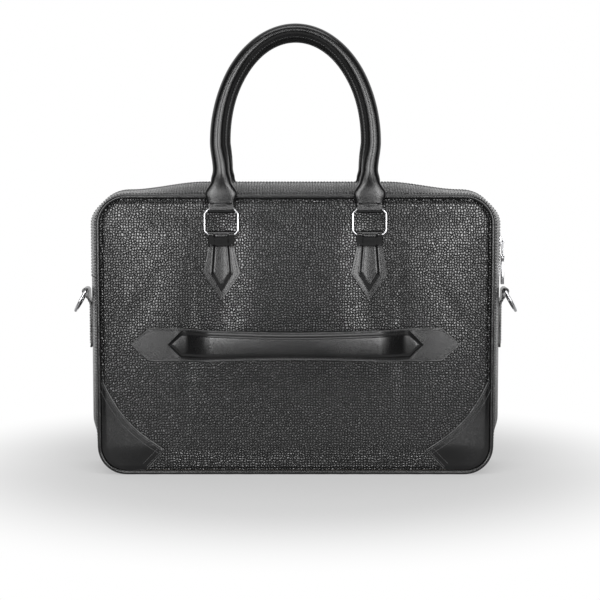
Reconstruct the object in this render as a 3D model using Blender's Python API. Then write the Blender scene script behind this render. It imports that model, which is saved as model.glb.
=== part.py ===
"""Soft leather briefcase: two grained panels, a piped gusset closed by a zip, two rolled handles on
rings, a sewn luggage strap on the rear and a ring on each side. Metres, +Z up, rear panel towards -Y,
origin at the centre of the base."""

import math

import bmesh
import bpy
from mathutils import Vector

MM = 0.001

# Body, over the pipings
CASE_WIDTH = 390 * MM
CASE_HEIGHT = 276 * MM
CASE_DEPTH = 85 * MM
TOP_RADIUS = 30 * MM
BASE_RADIUS = 28 * MM
PIPING_RADIUS = 2.2 * MM
PANEL_SETBACK = 1.0 * MM
LEATHER = 1.8 * MM
SEAM_GAP = 0.3 * MM

# How far the gusset swells past the pipings
SIDE_BULGE = 8 * MM
CORNER_BULGE = 3 * MM
TOP_CROWN = 11 * MM
CROWN_RUN = 75 * MM
BASE_RUN = 25 * MM

# Stiffeners and lining behind the leather
BOARD = 1.5 * MM
BASE_BOARD = 2.0 * MM
LINING = 0.8 * MM
BOARD_MARGIN = 0.6 * MM
LINING_MARGIN = 1.0 * MM
LINING_DROP = 6 * MM

# Zip: half widths across the gusset and the thickness of tape and coil
ZIP_SLOT_HALF = 4.5 * MM
COIL_INNER = 0.8 * MM
COIL_OUTER = 3.2 * MM
COIL_TOP = 0.4 * MM
TAPE = 0.8 * MM
TAPE_HALF = 14 * MM
SLIDER_FROM_TOP = 47.3 * MM
SLIDER_LENGTH = 12 * MM
SLIDER_HALF = 4.0 * MM
SLIDER_PLATE = 1.3 * MM
ZIP_TAIL = 28 * MM
BRIDGE_HALF = 4.15 * MM
BRIDGE_HEIGHT = 4.4 * MM
BRIDGE_BAR = 1.3 * MM
BRIDGE_HALF_WIDTH = 1.2 * MM
LINK_WIRE = 0.6 * MM
LINK_HALF_WIDTH = 2.6 * MM
LINK_LENGTH = 15 * MM
PULL_LENGTH = 28.5 * MM
PULL_THICKNESS = 3.0 * MM
PULL_HALF_WIDTH = 4.0 * MM
PULL_SHOULDER = 6 * MM
PULL_EYE_WALL = 1.0 * MM
PULL_TO_TAB = 3 * MM

# Rolled handles, their rings and the tabs that carry them
HANDLE_SPACING = 144 * MM
RING_WIDTH = 32.6 * MM
RING_HEIGHT = 24 * MM
RING_CHAMFER = 3.4 * MM
RING_WIRE = 1.2 * MM
RING_DROP = 38.5 * MM
HANDLE_CLEARANCE = 1.2 * MM
BORE_CLEARANCE = 0.3 * MM
TAB_THICKNESS = 3.0 * MM
TAB_LENGTH = 64 * MM
TAB_SHOULDER = 38 * MM
TAB_RISE = 12 * MM
TAB_NECK_HALF = 12.2 * MM
TAB_WIDE_HALF = 18 * MM
POINT_HALF = 0.6 * MM
END_NECK = 5 * MM
END_FLARE = 17 * MM
END_WAIST = 28.5 * MM
END_LENGTH = 38 * MM
END_NECK_HALF = 12.2 * MM
END_FLARE_HALF = 15.6 * MM
END_WAIST_HALF = 9.8 * MM
ROLL_RADIUS = 6 * MM
LEG_LENGTH = 27 * MM
LEG_STRAIGHT = 4 * MM
ARCH_HALF = 75.5 * MM
ARCH_RISE = 107.5 * MM

# Luggage strap across the rear panel
STRAP_HEIGHT = 130 * MM
STRAP_HALF_LENGTH = 160.7 * MM
STRAP_SHOULDER = 142.6 * MM
STRAP_SEWN = 109 * MM
STRAP_RISEN = 86 * MM
STRAP_STANDOFF = 17 * MM
STRAP_BOW = 1.5 * MM
STRAP_END_HALF = 16 * MM
STRAP_MIDDLE_HALF = 13 * MM
STRAP_THICKNESS = 2.2 * MM
PAD_HALF_LENGTH = 125 * MM
PAD_SHOULDER = 111 * MM
PAD_THICKNESS = 3.5 * MM
PAD_MARGIN = 1.8 * MM
PAD_SLOPE = 3.6 * MM

# Corner patches at the foot of both panels
PATCH = 1.2 * MM
PATCH_HEIGHT = 94.5 * MM
PATCH_LENGTH = 47 * MM
PATCH_POINT_OUT = 66.5 * MM
PATCH_POINT_UP = 25.5 * MM
PATCH_SAG = 8 * MM

# Side tabs and their rings
SIDE_TAB_HALF = 10 * MM
SIDE_TAB_LENGTH = 56 * MM
SIDE_TAB_FOOT = 2.0 * MM
SIDE_TAB_HEAD = 3.4 * MM
SIDE_TAB_RISE = 13 * MM
SIDE_RING_STANDOFF = 6 * MM
SIDE_RING_WIRE = 1.5 * MM
SIDE_RING_HALF = 12.5 * MM
SIDE_RING_STRAIGHT = 10.5 * MM
SIDE_RING_LEAN = math.radians(29)

# Fineness of the facets
CORNER_STEPS = 6
TOP_STEPS = 18
SIDE_STEPS = 6
BASE_STEPS = 4
ACROSS_STEPS = 4
LOOP_STEPS = 8
ARCH_STEPS = 22
LEG_STEPS = 3
RISE_STEPS = 5
PATCH_STEPS = 6
WIRE_ROUNDING = 2

REAR, FRONT = -1, 1
LEFT, RIGHT = -1, 1
FACES = {"rear": REAR, "front": FRONT}
SIDES = {"left": LEFT, "right": RIGHT}

# Places that several pieces share
HALF_WIDTH = CASE_WIDTH / 2
TOP_HALF = HALF_WIDTH - TOP_RADIUS
BASE_HALF = HALF_WIDTH - BASE_RADIUS
PIPING_Y = CASE_DEPTH / 2 - PIPING_RADIUS
PANEL_INSET = 2 * PIPING_RADIUS + SEAM_GAP
PANEL_Y = CASE_DEPTH / 2 - PANEL_SETBACK
BOARD_Y = PANEL_Y - LEATHER - SEAM_GAP
LINING_Y = BOARD_Y - BOARD - SEAM_GAP
BAND_HALF = CASE_DEPTH / 2 - PANEL_INSET
LINING_INSET = LEATHER + SEAM_GAP + BASE_BOARD + SEAM_GAP
LOOP_RADIUS = RING_WIRE + BORE_CLEARANCE + LEATHER
RING_Y = CASE_DEPTH / 2 + HANDLE_CLEARANCE + LOOP_RADIUS
RING_LOW = CASE_HEIGHT - RING_DROP
RING_HIGH = RING_LOW + RING_HEIGHT
ROLL_FOOT = RING_HIGH + END_LENGTH + SEAM_GAP
ARCH_BASE = ROLL_FOOT + LEG_LENGTH
SIDE_FACE = HALF_WIDTH + SIDE_BULGE
SLIDER_Z = CASE_HEIGHT - SLIDER_FROM_TOP
ZIP_END = SLIDER_Z - SLIDER_LENGTH / 2 - ZIP_TAIL
TAPE_TOP = LEATHER + SEAM_GAP
TAPE_BOTTOM = TAPE_TOP + TAPE
SLIDER_FACE = SLIDER_PLATE + SEAM_GAP - COIL_TOP
LINK_OUT = SLIDER_FACE + BRIDGE_HEIGHT - BRIDGE_BAR - BORE_CLEARANCE - LINK_WIRE
PULL_TOP = SLIDER_Z - LINK_LENGTH
SIDE_LOOP_RADIUS = SIDE_RING_WIRE + BORE_CLEARANCE + LEATHER
SIDE_RING_Z = PULL_TOP - PULL_LENGTH - PULL_TO_TAB - SIDE_LOOP_RADIUS
STRAP_FACE = PANEL_Y + SEAM_GAP


def smooth(share):
    """0 to 1 in a soft S, level at both ends."""
    held = min(max(share, 0), 1)
    return held * held * (3 - 2 * held)


def between(low, high, share):
    return low + (high - low) * share


def spread(low, high, steps):
    return [between(low, high, i / steps) for i in range(steps + 1)]


def stepped(value, places):
    """A straight-line reading of (position, size) pairs, which rise with position."""
    for (low, size), (high, next_size) in zip(places, places[1:]):
        if value <= high:
            return between(size, next_size, max(value - low, 0) / (high - low))
    return places[-1][1]


def circle(across, up, radius, start=0, end=2 * math.pi, steps=2 * LOOP_STEPS):
    return [(across + radius * math.cos(a), up + radius * math.sin(a)) for a in spread(start, end, steps)]


def ring_of(across, up, radius):
    return circle(across, up, radius)[:-1]


def finish_material(name, colour, roughness, metallic=0.0):
    material = bpy.data.materials.new(name)
    material.use_nodes = True
    shader = material.node_tree.nodes["Principled BSDF"]
    shader.inputs["Base Color"].default_value = (*colour, 1)
    shader.inputs["Roughness"].default_value = roughness
    shader.inputs["Metallic"].default_value = metallic
    return material


def joint_axis(name, place, parent=None):
    """An empty on a joint's axis, which the moving pieces hang from."""
    empty = bpy.data.objects.new(name, None)
    bpy.context.scene.collection.objects.link(empty)
    empty.parent = parent
    empty.location = place if parent is None else place - world_place(parent)
    return empty


def world_place(empty):
    return empty.location + world_place(empty.parent) if empty else Vector((0, 0, 0))


def add_object(name, data, material, axis):
    piece = bpy.data.objects.new(name, data)
    data.materials.append(material)
    bpy.context.scene.collection.objects.link(piece)
    piece.parent = axis
    return piece


def add_mesh(name, shape, material, axis=None):
    bmesh.ops.recalc_face_normals(shape, faces=shape.faces)
    bmesh.ops.translate(shape, verts=shape.verts, vec=-world_place(axis))
    mesh = bpy.data.meshes.new(name)
    shape.to_mesh(mesh)
    shape.free()
    return add_object(name, mesh, material, axis)


def add_wire(name, points, radius, material, axis=None, closed=True, capped=True):
    curve = bpy.data.curves.new(name, "CURVE")
    curve.dimensions = "3D"
    curve.bevel_depth = radius
    curve.bevel_resolution = WIRE_ROUNDING
    curve.use_fill_caps = capped and not closed
    spline = curve.splines.new("POLY")
    spline.points.add(len(points) - 1)
    for target, point in zip(spline.points, points):
        target.co = (*(Vector(point) - world_place(axis)), 1)
    spline.use_cyclic_u = closed
    return add_object(name, curve, material, axis)


def filled(loops, place):
    """A flat face with its holes, from loops of (across, up) points."""
    shape = bmesh.new()
    edges = []
    for loop in loops:
        corners = [shape.verts.new(place(*point)) for point in loop]
        edges += [shape.edges.new(pair) for pair in zip(corners, corners[1:] + corners[:1])]
    bmesh.ops.triangle_fill(shape, use_beauty=True, edges=edges)
    return shape


def pull_out(shape, step):
    grown = bmesh.ops.extrude_face_region(shape, geom=list(shape.faces))["geom"]
    corners = [part for part in grown if isinstance(part, bmesh.types.BMVert)]
    bmesh.ops.translate(shape, verts=corners, vec=step)


def plate(loop, near, far):
    """A sheet cut to a loop of (x, z) points, between two depths."""
    shape = filled([loop], lambda x, z: (x, near, z))
    pull_out(shape, (0, far - near, 0))
    return shape


def profile(loops, half_width, place, along):
    """Loops of (out, z) points drawn both ways along X (0) or Y (1), as wide as half_width says at each z."""
    shape = filled(loops, place)
    step = [0, 0, 0]
    step[along] = 2
    pull_out(shape, step)
    for corner in shape.verts:
        corner.co[along] = (corner.co[along] - 1) * half_width(corner.co.z)
    return shape


def sweep(sections):
    """A solid through closed sections that have the same number of points."""
    shape = bmesh.new()
    first = face = shape.faces.new([shape.verts.new(point) for point in sections[0]])
    for here, following in zip(sections, sections[1:]):
        moved = {tuple(Vector(old)): new for old, new in zip(here, following)}
        grown = bmesh.ops.extrude_face_region(shape, geom=[face])["geom"]
        if face is not first:
            shape.faces.remove(face)
        face = next(part for part in grown if isinstance(part, bmesh.types.BMFace))
        for corner in face.verts:
            corner.co = moved[tuple(corner.co)]
    return shape


def outline(inset):
    """The case's rounded outline, drawn in by inset, as (x, z) points from the left top corner round."""
    top_radius = TOP_RADIUS - inset
    base_radius = BASE_RADIUS - inset
    top_z = CASE_HEIGHT - TOP_RADIUS
    turn = math.pi / 2
    return (
        circle(TOP_HALF, top_z, top_radius, turn, 0, CORNER_STEPS)
        + circle(BASE_HALF, BASE_RADIUS, base_radius, 0, -turn, CORNER_STEPS)
        + circle(-BASE_HALF, BASE_RADIUS, base_radius, -turn, -2 * turn, CORNER_STEPS)
        + circle(-TOP_HALF, top_z, top_radius, 2 * turn, turn, CORNER_STEPS)
    )


# A band's stations: each is x, z, the outward direction and how far the band swells there

def top_stations():
    reach = TOP_HALF - SEAM_GAP
    crown = [CORNER_BULGE + (TOP_CROWN - CORNER_BULGE) * smooth((TOP_HALF - abs(x)) / CROWN_RUN)
             for x in spread(-reach, reach, TOP_STEPS)]
    return [(x, CASE_HEIGHT, 0, 1, swell) for x, swell in zip(spread(-reach, reach, TOP_STEPS), crown)]


def top_corner_stations(side):
    stations = []
    for turn in spread(math.pi / 2, 0, CORNER_STEPS):
        swell = between(SIDE_BULGE, CORNER_BULGE, smooth(turn / (math.pi / 4)))
        x = TOP_HALF + TOP_RADIUS * math.cos(turn)
        z = CASE_HEIGHT - TOP_RADIUS + TOP_RADIUS * math.sin(turn)
        stations.append((side * x, z, side * math.cos(turn), math.sin(turn), swell))
    stations.append((side * HALF_WIDTH, ZIP_END, side, 0, SIDE_BULGE))
    return stations


def base_half_stations(side, inset, top, swelling):
    """From the top of a side wall, down and round the corner to the end of the flat base."""
    foot = BASE_RADIUS + BASE_RUN
    heights = [top] + spread(foot, BASE_RADIUS, SIDE_STEPS)
    stations = [(side * (HALF_WIDTH - inset), z, side, 0, swelling * smooth((z - BASE_RADIUS) / BASE_RUN))
                for z in heights]
    for turn in spread(0, -math.pi / 2, CORNER_STEPS)[1:]:
        x = BASE_HALF + (BASE_RADIUS - inset) * math.cos(turn)
        z = BASE_RADIUS + (BASE_RADIUS - inset) * math.sin(turn)
        stations.append((side * x, z, side * math.cos(turn), math.sin(turn), 0))
    return stations


def base_stations(inset, top, swelling):
    left = base_half_stations(LEFT, inset, top, swelling)
    right = base_half_stations(RIGHT, inset, top, swelling)
    return left + right[::-1]


def band(section, stations):
    """Sweeps a section of (y, height) points along a band whose middle swells outwards."""
    rings = []
    for x, z, out_x, out_z, swell in stations:
        lift = [swell * (1 - (y / BAND_HALF) ** 2) + height for y, height in section]
        rings.append([(x + out_x * up, y, z + out_z * up) for (y, _), up in zip(section, lift)])
    return sweep(rings)


def strip_section(low, high, steps, top, thickness):
    outer = [(y, top) for y in spread(low, high, steps)]
    inner = [(y, top - thickness) for y in spread(high, low, steps)]
    return outer + inner


def tape_section(face):
    """Half of the zip: a tape whose inner edge carries the coil."""
    middle = (TAPE_HALF + COIL_OUTER) / 2
    points = [
        (TAPE_HALF, -TAPE_TOP), (middle, -TAPE_TOP), (COIL_OUTER, -TAPE_TOP),
        (COIL_OUTER, -COIL_TOP), (COIL_INNER, -COIL_TOP),
        (COIL_INNER, -TAPE_BOTTOM), (COIL_OUTER, -TAPE_BOTTOM), (middle, -TAPE_BOTTOM), (TAPE_HALF, -TAPE_BOTTOM),
    ]
    return [(face * y, height) for y, height in points]


def clear_scene():
    for old in list(bpy.data.objects):
        bpy.data.objects.remove(old, do_unlink=True)


def make_body(looks):
    for word, face in FACES.items():
        add_mesh(f"{word}_panel", plate(outline(PANEL_INSET), face * PANEL_Y, face * (PANEL_Y - LEATHER)),
                 looks["grained"])
        path = [(x, face * PIPING_Y, z) for x, z in outline(PIPING_RADIUS)]
        add_wire(f"{word}_piping", path, PIPING_RADIUS, looks["smooth"])
        board_loop = outline(PANEL_INSET + BOARD_MARGIN)
        add_mesh(f"{word}_board", plate(board_loop, face * BOARD_Y, face * (BOARD_Y - BOARD)), looks["board"])
        lining_loop = outline(LINING_INSET + LINING + LINING_MARGIN)
        add_mesh(f"{word}_lining", plate(lining_loop, face * LINING_Y, face * (LINING_Y - LINING)),
                 looks["lining"])
    section = strip_section(-BAND_HALF, BAND_HALF, 2 * ACROSS_STEPS, 0, LEATHER)
    add_mesh("gusset", band(section, base_stations(0, ZIP_END - SEAM_GAP, SIDE_BULGE)), looks["grained"])
    lining_half = LINING_Y - LINING - SEAM_GAP
    section = strip_section(-lining_half, lining_half, BASE_STEPS, 0, LINING)
    lining_top = CASE_HEIGHT - TOP_RADIUS - LINING_DROP
    add_mesh("gusset_lining", band(section, base_stations(LINING_INSET, lining_top, 0)), looks["lining"])
    low = LEATHER + SEAM_GAP
    corners = [(-BASE_HALF, low), (BASE_HALF, low), (BASE_HALF, low + BASE_BOARD), (-BASE_HALF, low + BASE_BOARD)]
    add_mesh("base_board", plate(corners, -BAND_HALF, BAND_HALF), looks["board"])


def make_zip(looks):
    for word, face in FACES.items():
        seam = Vector((0, face * PIPING_Y, CASE_HEIGHT - PIPING_RADIUS))
        axis = joint_axis(f"{word}_flap_axis", seam)
        strip = strip_section(face * BAND_HALF, face * ZIP_SLOT_HALF, ACROSS_STEPS, 0, LEATHER)
        tape = tape_section(face)
        add_mesh(f"{word}_zip_strip", band(strip, top_stations()), looks["grained"], axis)
        add_mesh(f"{word}_zip_tape", band(tape, top_stations()), looks["zip"], axis)
        for side_word, side in SIDES.items():
            stations = top_corner_stations(side)
            add_mesh(f"{word}_{side_word}_zip_strip", band(strip, stations), looks["grained"])
            add_mesh(f"{word}_{side_word}_zip_tape", band(tape, stations), looks["zip"])


def make_slider(looks):
    """The slider runs on the right-hand coil, with a link and a pull hanging from its bridge."""
    axis = joint_axis("zip_slider_axis", Vector((SIDE_FACE, 0, SLIDER_Z)))
    low = SLIDER_FACE - SLIDER_PLATE
    under = -TAPE_BOTTOM - 2 * SEAM_GAP
    post = COIL_INNER - SEAM_GAP
    half = [(SLIDER_FACE, SLIDER_HALF), (low, SLIDER_HALF), (low, post),
            (under, post), (under, SLIDER_HALF), (under - SLIDER_PLATE, SLIDER_HALF)]
    section = half + [(out, -y) for out, y in half[::-1]]
    ends = [SLIDER_Z - SLIDER_LENGTH / 2, SLIDER_Z + SLIDER_LENGTH / 2]
    body = add_mesh("zip_slider", sweep([[(SIDE_FACE + out, y, z) for out, y in section] for z in ends]),
                    looks["metal"], axis)
    arch = circle(0, 0, 1, 0, math.pi, LOOP_STEPS)
    outer = [(BRIDGE_HEIGHT * up, BRIDGE_HALF * along) for along, up in arch]
    inner = [((BRIDGE_HEIGHT - BRIDGE_BAR) * up, (BRIDGE_HALF - BRIDGE_BAR) * along) for along, up in arch]
    sunk = -SLIDER_PLATE / 2
    loop = [(sunk, BRIDGE_HALF)] + outer + [(sunk, -BRIDGE_HALF), (sunk, BRIDGE_BAR - BRIDGE_HALF)]
    loop += inner[::-1] + [(sunk, BRIDGE_HALF - BRIDGE_BAR)]
    face_x = SIDE_FACE + SLIDER_FACE
    bridge_shape = profile([loop], lambda z: BRIDGE_HALF_WIDTH,
                           lambda out, z: (face_x + out, 0, SLIDER_Z + z), 1)
    bridge = add_mesh("zip_bridge_join", bridge_shape, looks["metal"], axis)
    bridge.hide_render = True
    bridge.display_type = "WIRE"
    union = body.modifiers.new("bridge", "BOOLEAN")
    union.operation = "UNION"
    union.object = bridge

    link_axis = joint_axis("zip_link_axis", Vector((SIDE_FACE + LINK_OUT, 0, SLIDER_Z)), axis)
    link_x = SIDE_FACE + LINK_OUT
    corners = [(LINK_HALF_WIDTH, SLIDER_Z), (-LINK_HALF_WIDTH, SLIDER_Z),
               (-LINK_HALF_WIDTH, PULL_TOP), (LINK_HALF_WIDTH, PULL_TOP)]
    add_wire("zip_link", [(link_x, y, z) for y, z in corners], LINK_WIRE, looks["metal"], link_axis)

    pull_axis = joint_axis("zip_pull_axis", Vector((link_x, 0, PULL_TOP)), link_axis)
    bore = LINK_WIRE + BORE_CLEARANCE
    eye = bore + PULL_EYE_WALL
    thick = PULL_THICKNESS / 2
    shoulders = [(-thick, -PULL_SHOULDER), (-thick, -PULL_LENGTH), (thick, -PULL_LENGTH), (thick, -PULL_SHOULDER)]
    loops = [circle(0, 0, eye, 0, math.pi, LOOP_STEPS) + shoulders, ring_of(0, 0, bore)]
    eye_half = LINK_HALF_WIDTH - LINK_WIRE - BORE_CLEARANCE
    widths = [(-PULL_LENGTH, PULL_HALF_WIDTH), (-PULL_SHOULDER, PULL_HALF_WIDTH), (-eye, eye_half), (eye, eye_half)]
    pull = profile(loops, lambda z: stepped(z - PULL_TOP, widths),
                   lambda out, z: (link_x + out, 0, PULL_TOP + z), 1)
    add_mesh("zip_pull", pull, looks["metal"], pull_axis)


def tab_profile():
    """A tab folded round the ring's lower bar, seen from the side: (out from the panel, z) points."""
    out = RING_Y - PANEL_Y
    top = circle(out, 0, LOOP_RADIUS, math.pi, 0, LOOP_STEPS)
    front = SEAM_GAP + TAB_THICKNESS
    back = [(SEAM_GAP, -TAB_LENGTH), (SEAM_GAP, -TAB_SHOULDER), (SEAM_GAP, -TAB_RISE)]
    return back + top + [(front, -TAB_RISE), (front, -TAB_SHOULDER), (front, -TAB_LENGTH)]


def end_profile():
    """A handle's end folded round the ring's upper bar, seen from the side."""
    waist = between(LOOP_RADIUS, ROLL_RADIUS, (END_WAIST - END_FLARE) / (END_LENGTH - END_FLARE))
    heights = [(END_NECK, LOOP_RADIUS), (END_FLARE, LOOP_RADIUS), (END_WAIST, waist), (END_LENGTH, ROLL_RADIUS)]
    right = [(half, z) for z, half in heights]
    left = [(-half, z) for half, z in right[::-1]]
    return circle(0, 0, LOOP_RADIUS, -math.pi, 0, LOOP_STEPS) + right + left


def roll_path(face):
    """Up one leg, over the arch and down the other."""
    bend = ROLL_FOOT + LEG_STRAIGHT
    leg = [(between(HANDLE_SPACING / 2, ARCH_HALF, smooth((z - bend) / (ARCH_BASE - bend))), z)
           for z in [ROLL_FOOT] + spread(bend, ARCH_BASE, LEG_STEPS)]
    arch = [(ARCH_HALF * along, ARCH_BASE + ARCH_RISE * up)
            for along, up in circle(0, 0, 1, 0, math.pi, ARCH_STEPS)]
    route = leg[:-1] + arch + [(-x, z) for x, z in leg[-2::-1]]
    return [(x, face * RING_Y, z) for x, z in route]


def make_handle(word, face, looks):
    ring_axis = joint_axis(f"{word}_ring_axis", Vector((0, face * RING_Y, RING_LOW)))
    handle_axis = joint_axis(f"{word}_handle_axis", Vector((0, face * RING_Y, RING_HIGH)), ring_axis)
    bore = ring_of(0, 0, RING_WIRE + BORE_CLEARANCE)
    tab_widths = [(-TAB_LENGTH, POINT_HALF), (-TAB_SHOULDER, TAB_WIDE_HALF), (-TAB_RISE, TAB_NECK_HALF),
                  (LOOP_RADIUS, TAB_NECK_HALF)]
    end_widths = [(-LOOP_RADIUS, END_NECK_HALF), (END_NECK, END_NECK_HALF), (END_FLARE, END_FLARE_HALF),
                  (END_WAIST, END_WAIST_HALF), (END_LENGTH, ROLL_RADIUS)]
    tab_bore = [(RING_Y - PANEL_Y + out, z) for out, z in bore]
    wide, high = RING_WIDTH / 2, RING_HEIGHT / 2
    for side_word, side in SIDES.items():
        x = side * HANDLE_SPACING / 2
        tab = profile([tab_profile(), tab_bore], lambda z: stepped(z - RING_LOW, tab_widths),
                      lambda out, z: (0, face * (PANEL_Y + out), RING_LOW + z), 0)
        bmesh.ops.translate(tab, verts=tab.verts, vec=(x, 0, 0))
        add_mesh(f"{word}_{side_word}_handle_tab", tab, looks["smooth"])
        corners = [(wide - RING_CHAMFER, high), (wide, high - RING_CHAMFER)]
        half = corners + [(u, -v) for u, v in corners[::-1]]
        loop = half + [(-u, v) for u, v in half[::-1]]
        middle = RING_LOW + high
        add_wire(f"{word}_{side_word}_ring", [(x + u, face * RING_Y, middle + v) for u, v in loop], RING_WIRE,
                 looks["metal"], ring_axis)
        end = profile([end_profile(), bore], lambda z: stepped(z - RING_HIGH, end_widths),
                      lambda out, z: (0, face * RING_Y + out, RING_HIGH + z), 0)
        bmesh.ops.translate(end, verts=end.verts, vec=(x, 0, 0))
        add_mesh(f"{word}_{side_word}_handle_end", end, looks["smooth"], handle_axis)
    roll = add_wire(f"{word}_handle_roll", roll_path(face), ROLL_RADIUS, looks["smooth"], handle_axis,
                    closed=False, capped=False)
    wall = roll.modifiers.new("cover", "SOLIDIFY")
    wall.thickness = LEATHER
    add_wire(f"{word}_handle_core", roll_path(face), ROLL_RADIUS - LEATHER - SEAM_GAP, looks["cord"], handle_axis,
             closed=False)


def strap_standoff(x):
    """How far the strap's inner side stands off where it is sewn down."""
    risen = smooth((STRAP_SEWN - abs(x)) / (STRAP_SEWN - STRAP_RISEN))
    bow = STRAP_BOW * max(1 - (x / STRAP_RISEN) ** 2, 0)
    return STRAP_STANDOFF * risen + bow


def strap_stations(half_length, shoulder, half_height):
    """x and half height along a pointed strip, from the left tip to the right one."""
    rise = spread(STRAP_SEWN, STRAP_RISEN, RISE_STEPS)
    inner = spread(STRAP_RISEN, 0, RISE_STEPS)[1:]
    left = [-x for x in [shoulder] + rise + inner]
    run = left + [-x for x in left[-2::-1]]
    return [(-half_length, POINT_HALF)] + [(x, half_height(x)) for x in run] + [(half_length, POINT_HALF)]


def strap_half(x):
    return between(STRAP_MIDDLE_HALF, STRAP_END_HALF, smooth(abs(x) / STRAP_SHOULDER))


def make_strap(looks):
    sections = []
    for x, half in strap_stations(STRAP_HALF_LENGTH, STRAP_SHOULDER, strap_half):
        near = STRAP_FACE + strap_standoff(x)
        far = near + STRAP_THICKNESS
        corners = [(near, half), (far, half), (far, -half), (near, -half)]
        sections.append([(x, REAR * y, STRAP_HEIGHT + z) for y, z in corners])
    add_mesh("luggage_strap", sweep(sections), looks["smooth"])
    sections = []
    for x, half in strap_stations(PAD_HALF_LENGTH, PAD_SHOULDER, lambda x: strap_half(x) - PAD_MARGIN):
        near = STRAP_FACE + strap_standoff(x) + STRAP_THICKNESS + SEAM_GAP
        far = near + PAD_THICKNESS
        top = half * (1 - PAD_SLOPE / STRAP_MIDDLE_HALF)
        corners = [(near, half), (far, top), (far, -top), (near, -half)]
        sections.append([(x, REAR * y, STRAP_HEIGHT + z) for y, z in corners])
    add_mesh("luggage_strap_pad", sweep(sections), looks["smooth"])


def patch_loop(side):
    """The foot corner of a panel, with a soft slanting edge across it."""
    edge = HALF_WIDTH - PANEL_INSET
    radius = BASE_RADIUS - PANEL_INSET
    rounded = circle(BASE_HALF, BASE_RADIUS, radius, 0, -math.pi / 2, CORNER_STEPS)
    start = Vector((HALF_WIDTH - PATCH_POINT_OUT, PATCH_POINT_UP))
    end = Vector((edge, PATCH_HEIGHT))
    across = (end - start).normalized()
    inward = Vector((across.y, -across.x))
    slant = [tuple(start.lerp(end, share) + inward * PATCH_SAG * math.sin(math.pi * share))
             for share in spread(0, 1, PATCH_STEPS)]
    loop = slant + rounded + [(HALF_WIDTH - PATCH_LENGTH, PANEL_INSET)]
    return [(side * x, z) for x, z in loop]


def make_patches(looks):
    for word, face in FACES.items():
        for side_word, side in SIDES.items():
            near = PANEL_Y + SEAM_GAP
            shape = plate(patch_loop(side), face * near, face * (near + PATCH))
            add_mesh(f"{word}_{side_word}_corner_patch", shape, looks["smooth"])


def make_side_tabs(looks):
    bore = SIDE_RING_WIRE + BORE_CLEARANCE
    out = SIDE_RING_STANDOFF
    top = circle(out, 0, SIDE_LOOP_RADIUS, math.pi, 0, LOOP_STEPS)
    loop = [(SEAM_GAP, -SIDE_TAB_LENGTH), (SEAM_GAP, -SIDE_TAB_RISE)] + top
    loop += [(SEAM_GAP + SIDE_TAB_HEAD, -SIDE_TAB_RISE), (SEAM_GAP + SIDE_TAB_FOOT, -SIDE_TAB_LENGTH)]
    half_round = circle(0, 0, 1, math.pi / 2, -math.pi / 2, LOOP_STEPS)
    ring = [(0, -SIDE_RING_HALF), (0, SIDE_RING_HALF)]
    ring += [(SIDE_RING_STRAIGHT + SIDE_RING_HALF * down, SIDE_RING_HALF * y) for down, y in half_round]
    lean_out, lean_down = math.sin(SIDE_RING_LEAN), math.cos(SIDE_RING_LEAN)
    for side_word, side in SIDES.items():
        tab = profile([loop, ring_of(out, 0, bore)], lambda z: SIDE_TAB_HALF,
                      lambda far, z: (side * (SIDE_FACE + far), 0, SIDE_RING_Z + z), 1)
        add_mesh(f"{side_word}_side_tab", tab, looks["smooth"])
        bar_x = side * (SIDE_FACE + out)
        axis = joint_axis(f"{side_word}_d_ring_axis", Vector((bar_x, 0, SIDE_RING_Z)))
        path = [(bar_x + side * down * lean_out, y, SIDE_RING_Z - down * lean_down) for down, y in ring]
        add_wire(f"{side_word}_d_ring", path, SIDE_RING_WIRE, looks["metal"], axis)


def main():
    clear_scene()
    looks = {
        "grained": finish_material("grained_leather", (0.012, 0.012, 0.013), 0.42),
        "smooth": finish_material("smooth_leather", (0.014, 0.014, 0.015), 0.36),
        "metal": finish_material("polished_metal", (0.72, 0.72, 0.74), 0.18, 1.0),
        "zip": finish_material("zip_tape", (0.015, 0.015, 0.016), 0.7),
        "lining": finish_material("lining_cloth", (0.05, 0.05, 0.055), 0.8),
        "board": finish_material("stiffener_board", (0.22, 0.2, 0.17), 0.85),
        "cord": finish_material("handle_cord", (0.5, 0.46, 0.4), 0.9),
    }
    make_body(looks)
    make_zip(looks)
    make_slider(looks)
    for word, face in FACES.items():
        make_handle(word, face, looks)
    make_strap(looks)
    make_patches(looks)
    make_side_tabs(looks)


main()
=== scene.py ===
# %% [markdown]
# # A soft leather briefcase
#
# The imported solids are the frame: every piece below is placed from their boxes, and most of them ride on one
# of their bodies and take the place of a plain solid. A bag is mostly leather sheet, so most pieces here start as
# a flat grid that is laid on a curved surface and given the thickness of leather.

# %% Load the frame
import math
from functools import partial
from itertools import accumulate

import bmesh
import bpy
from mathutils import Matrix, Vector


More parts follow.
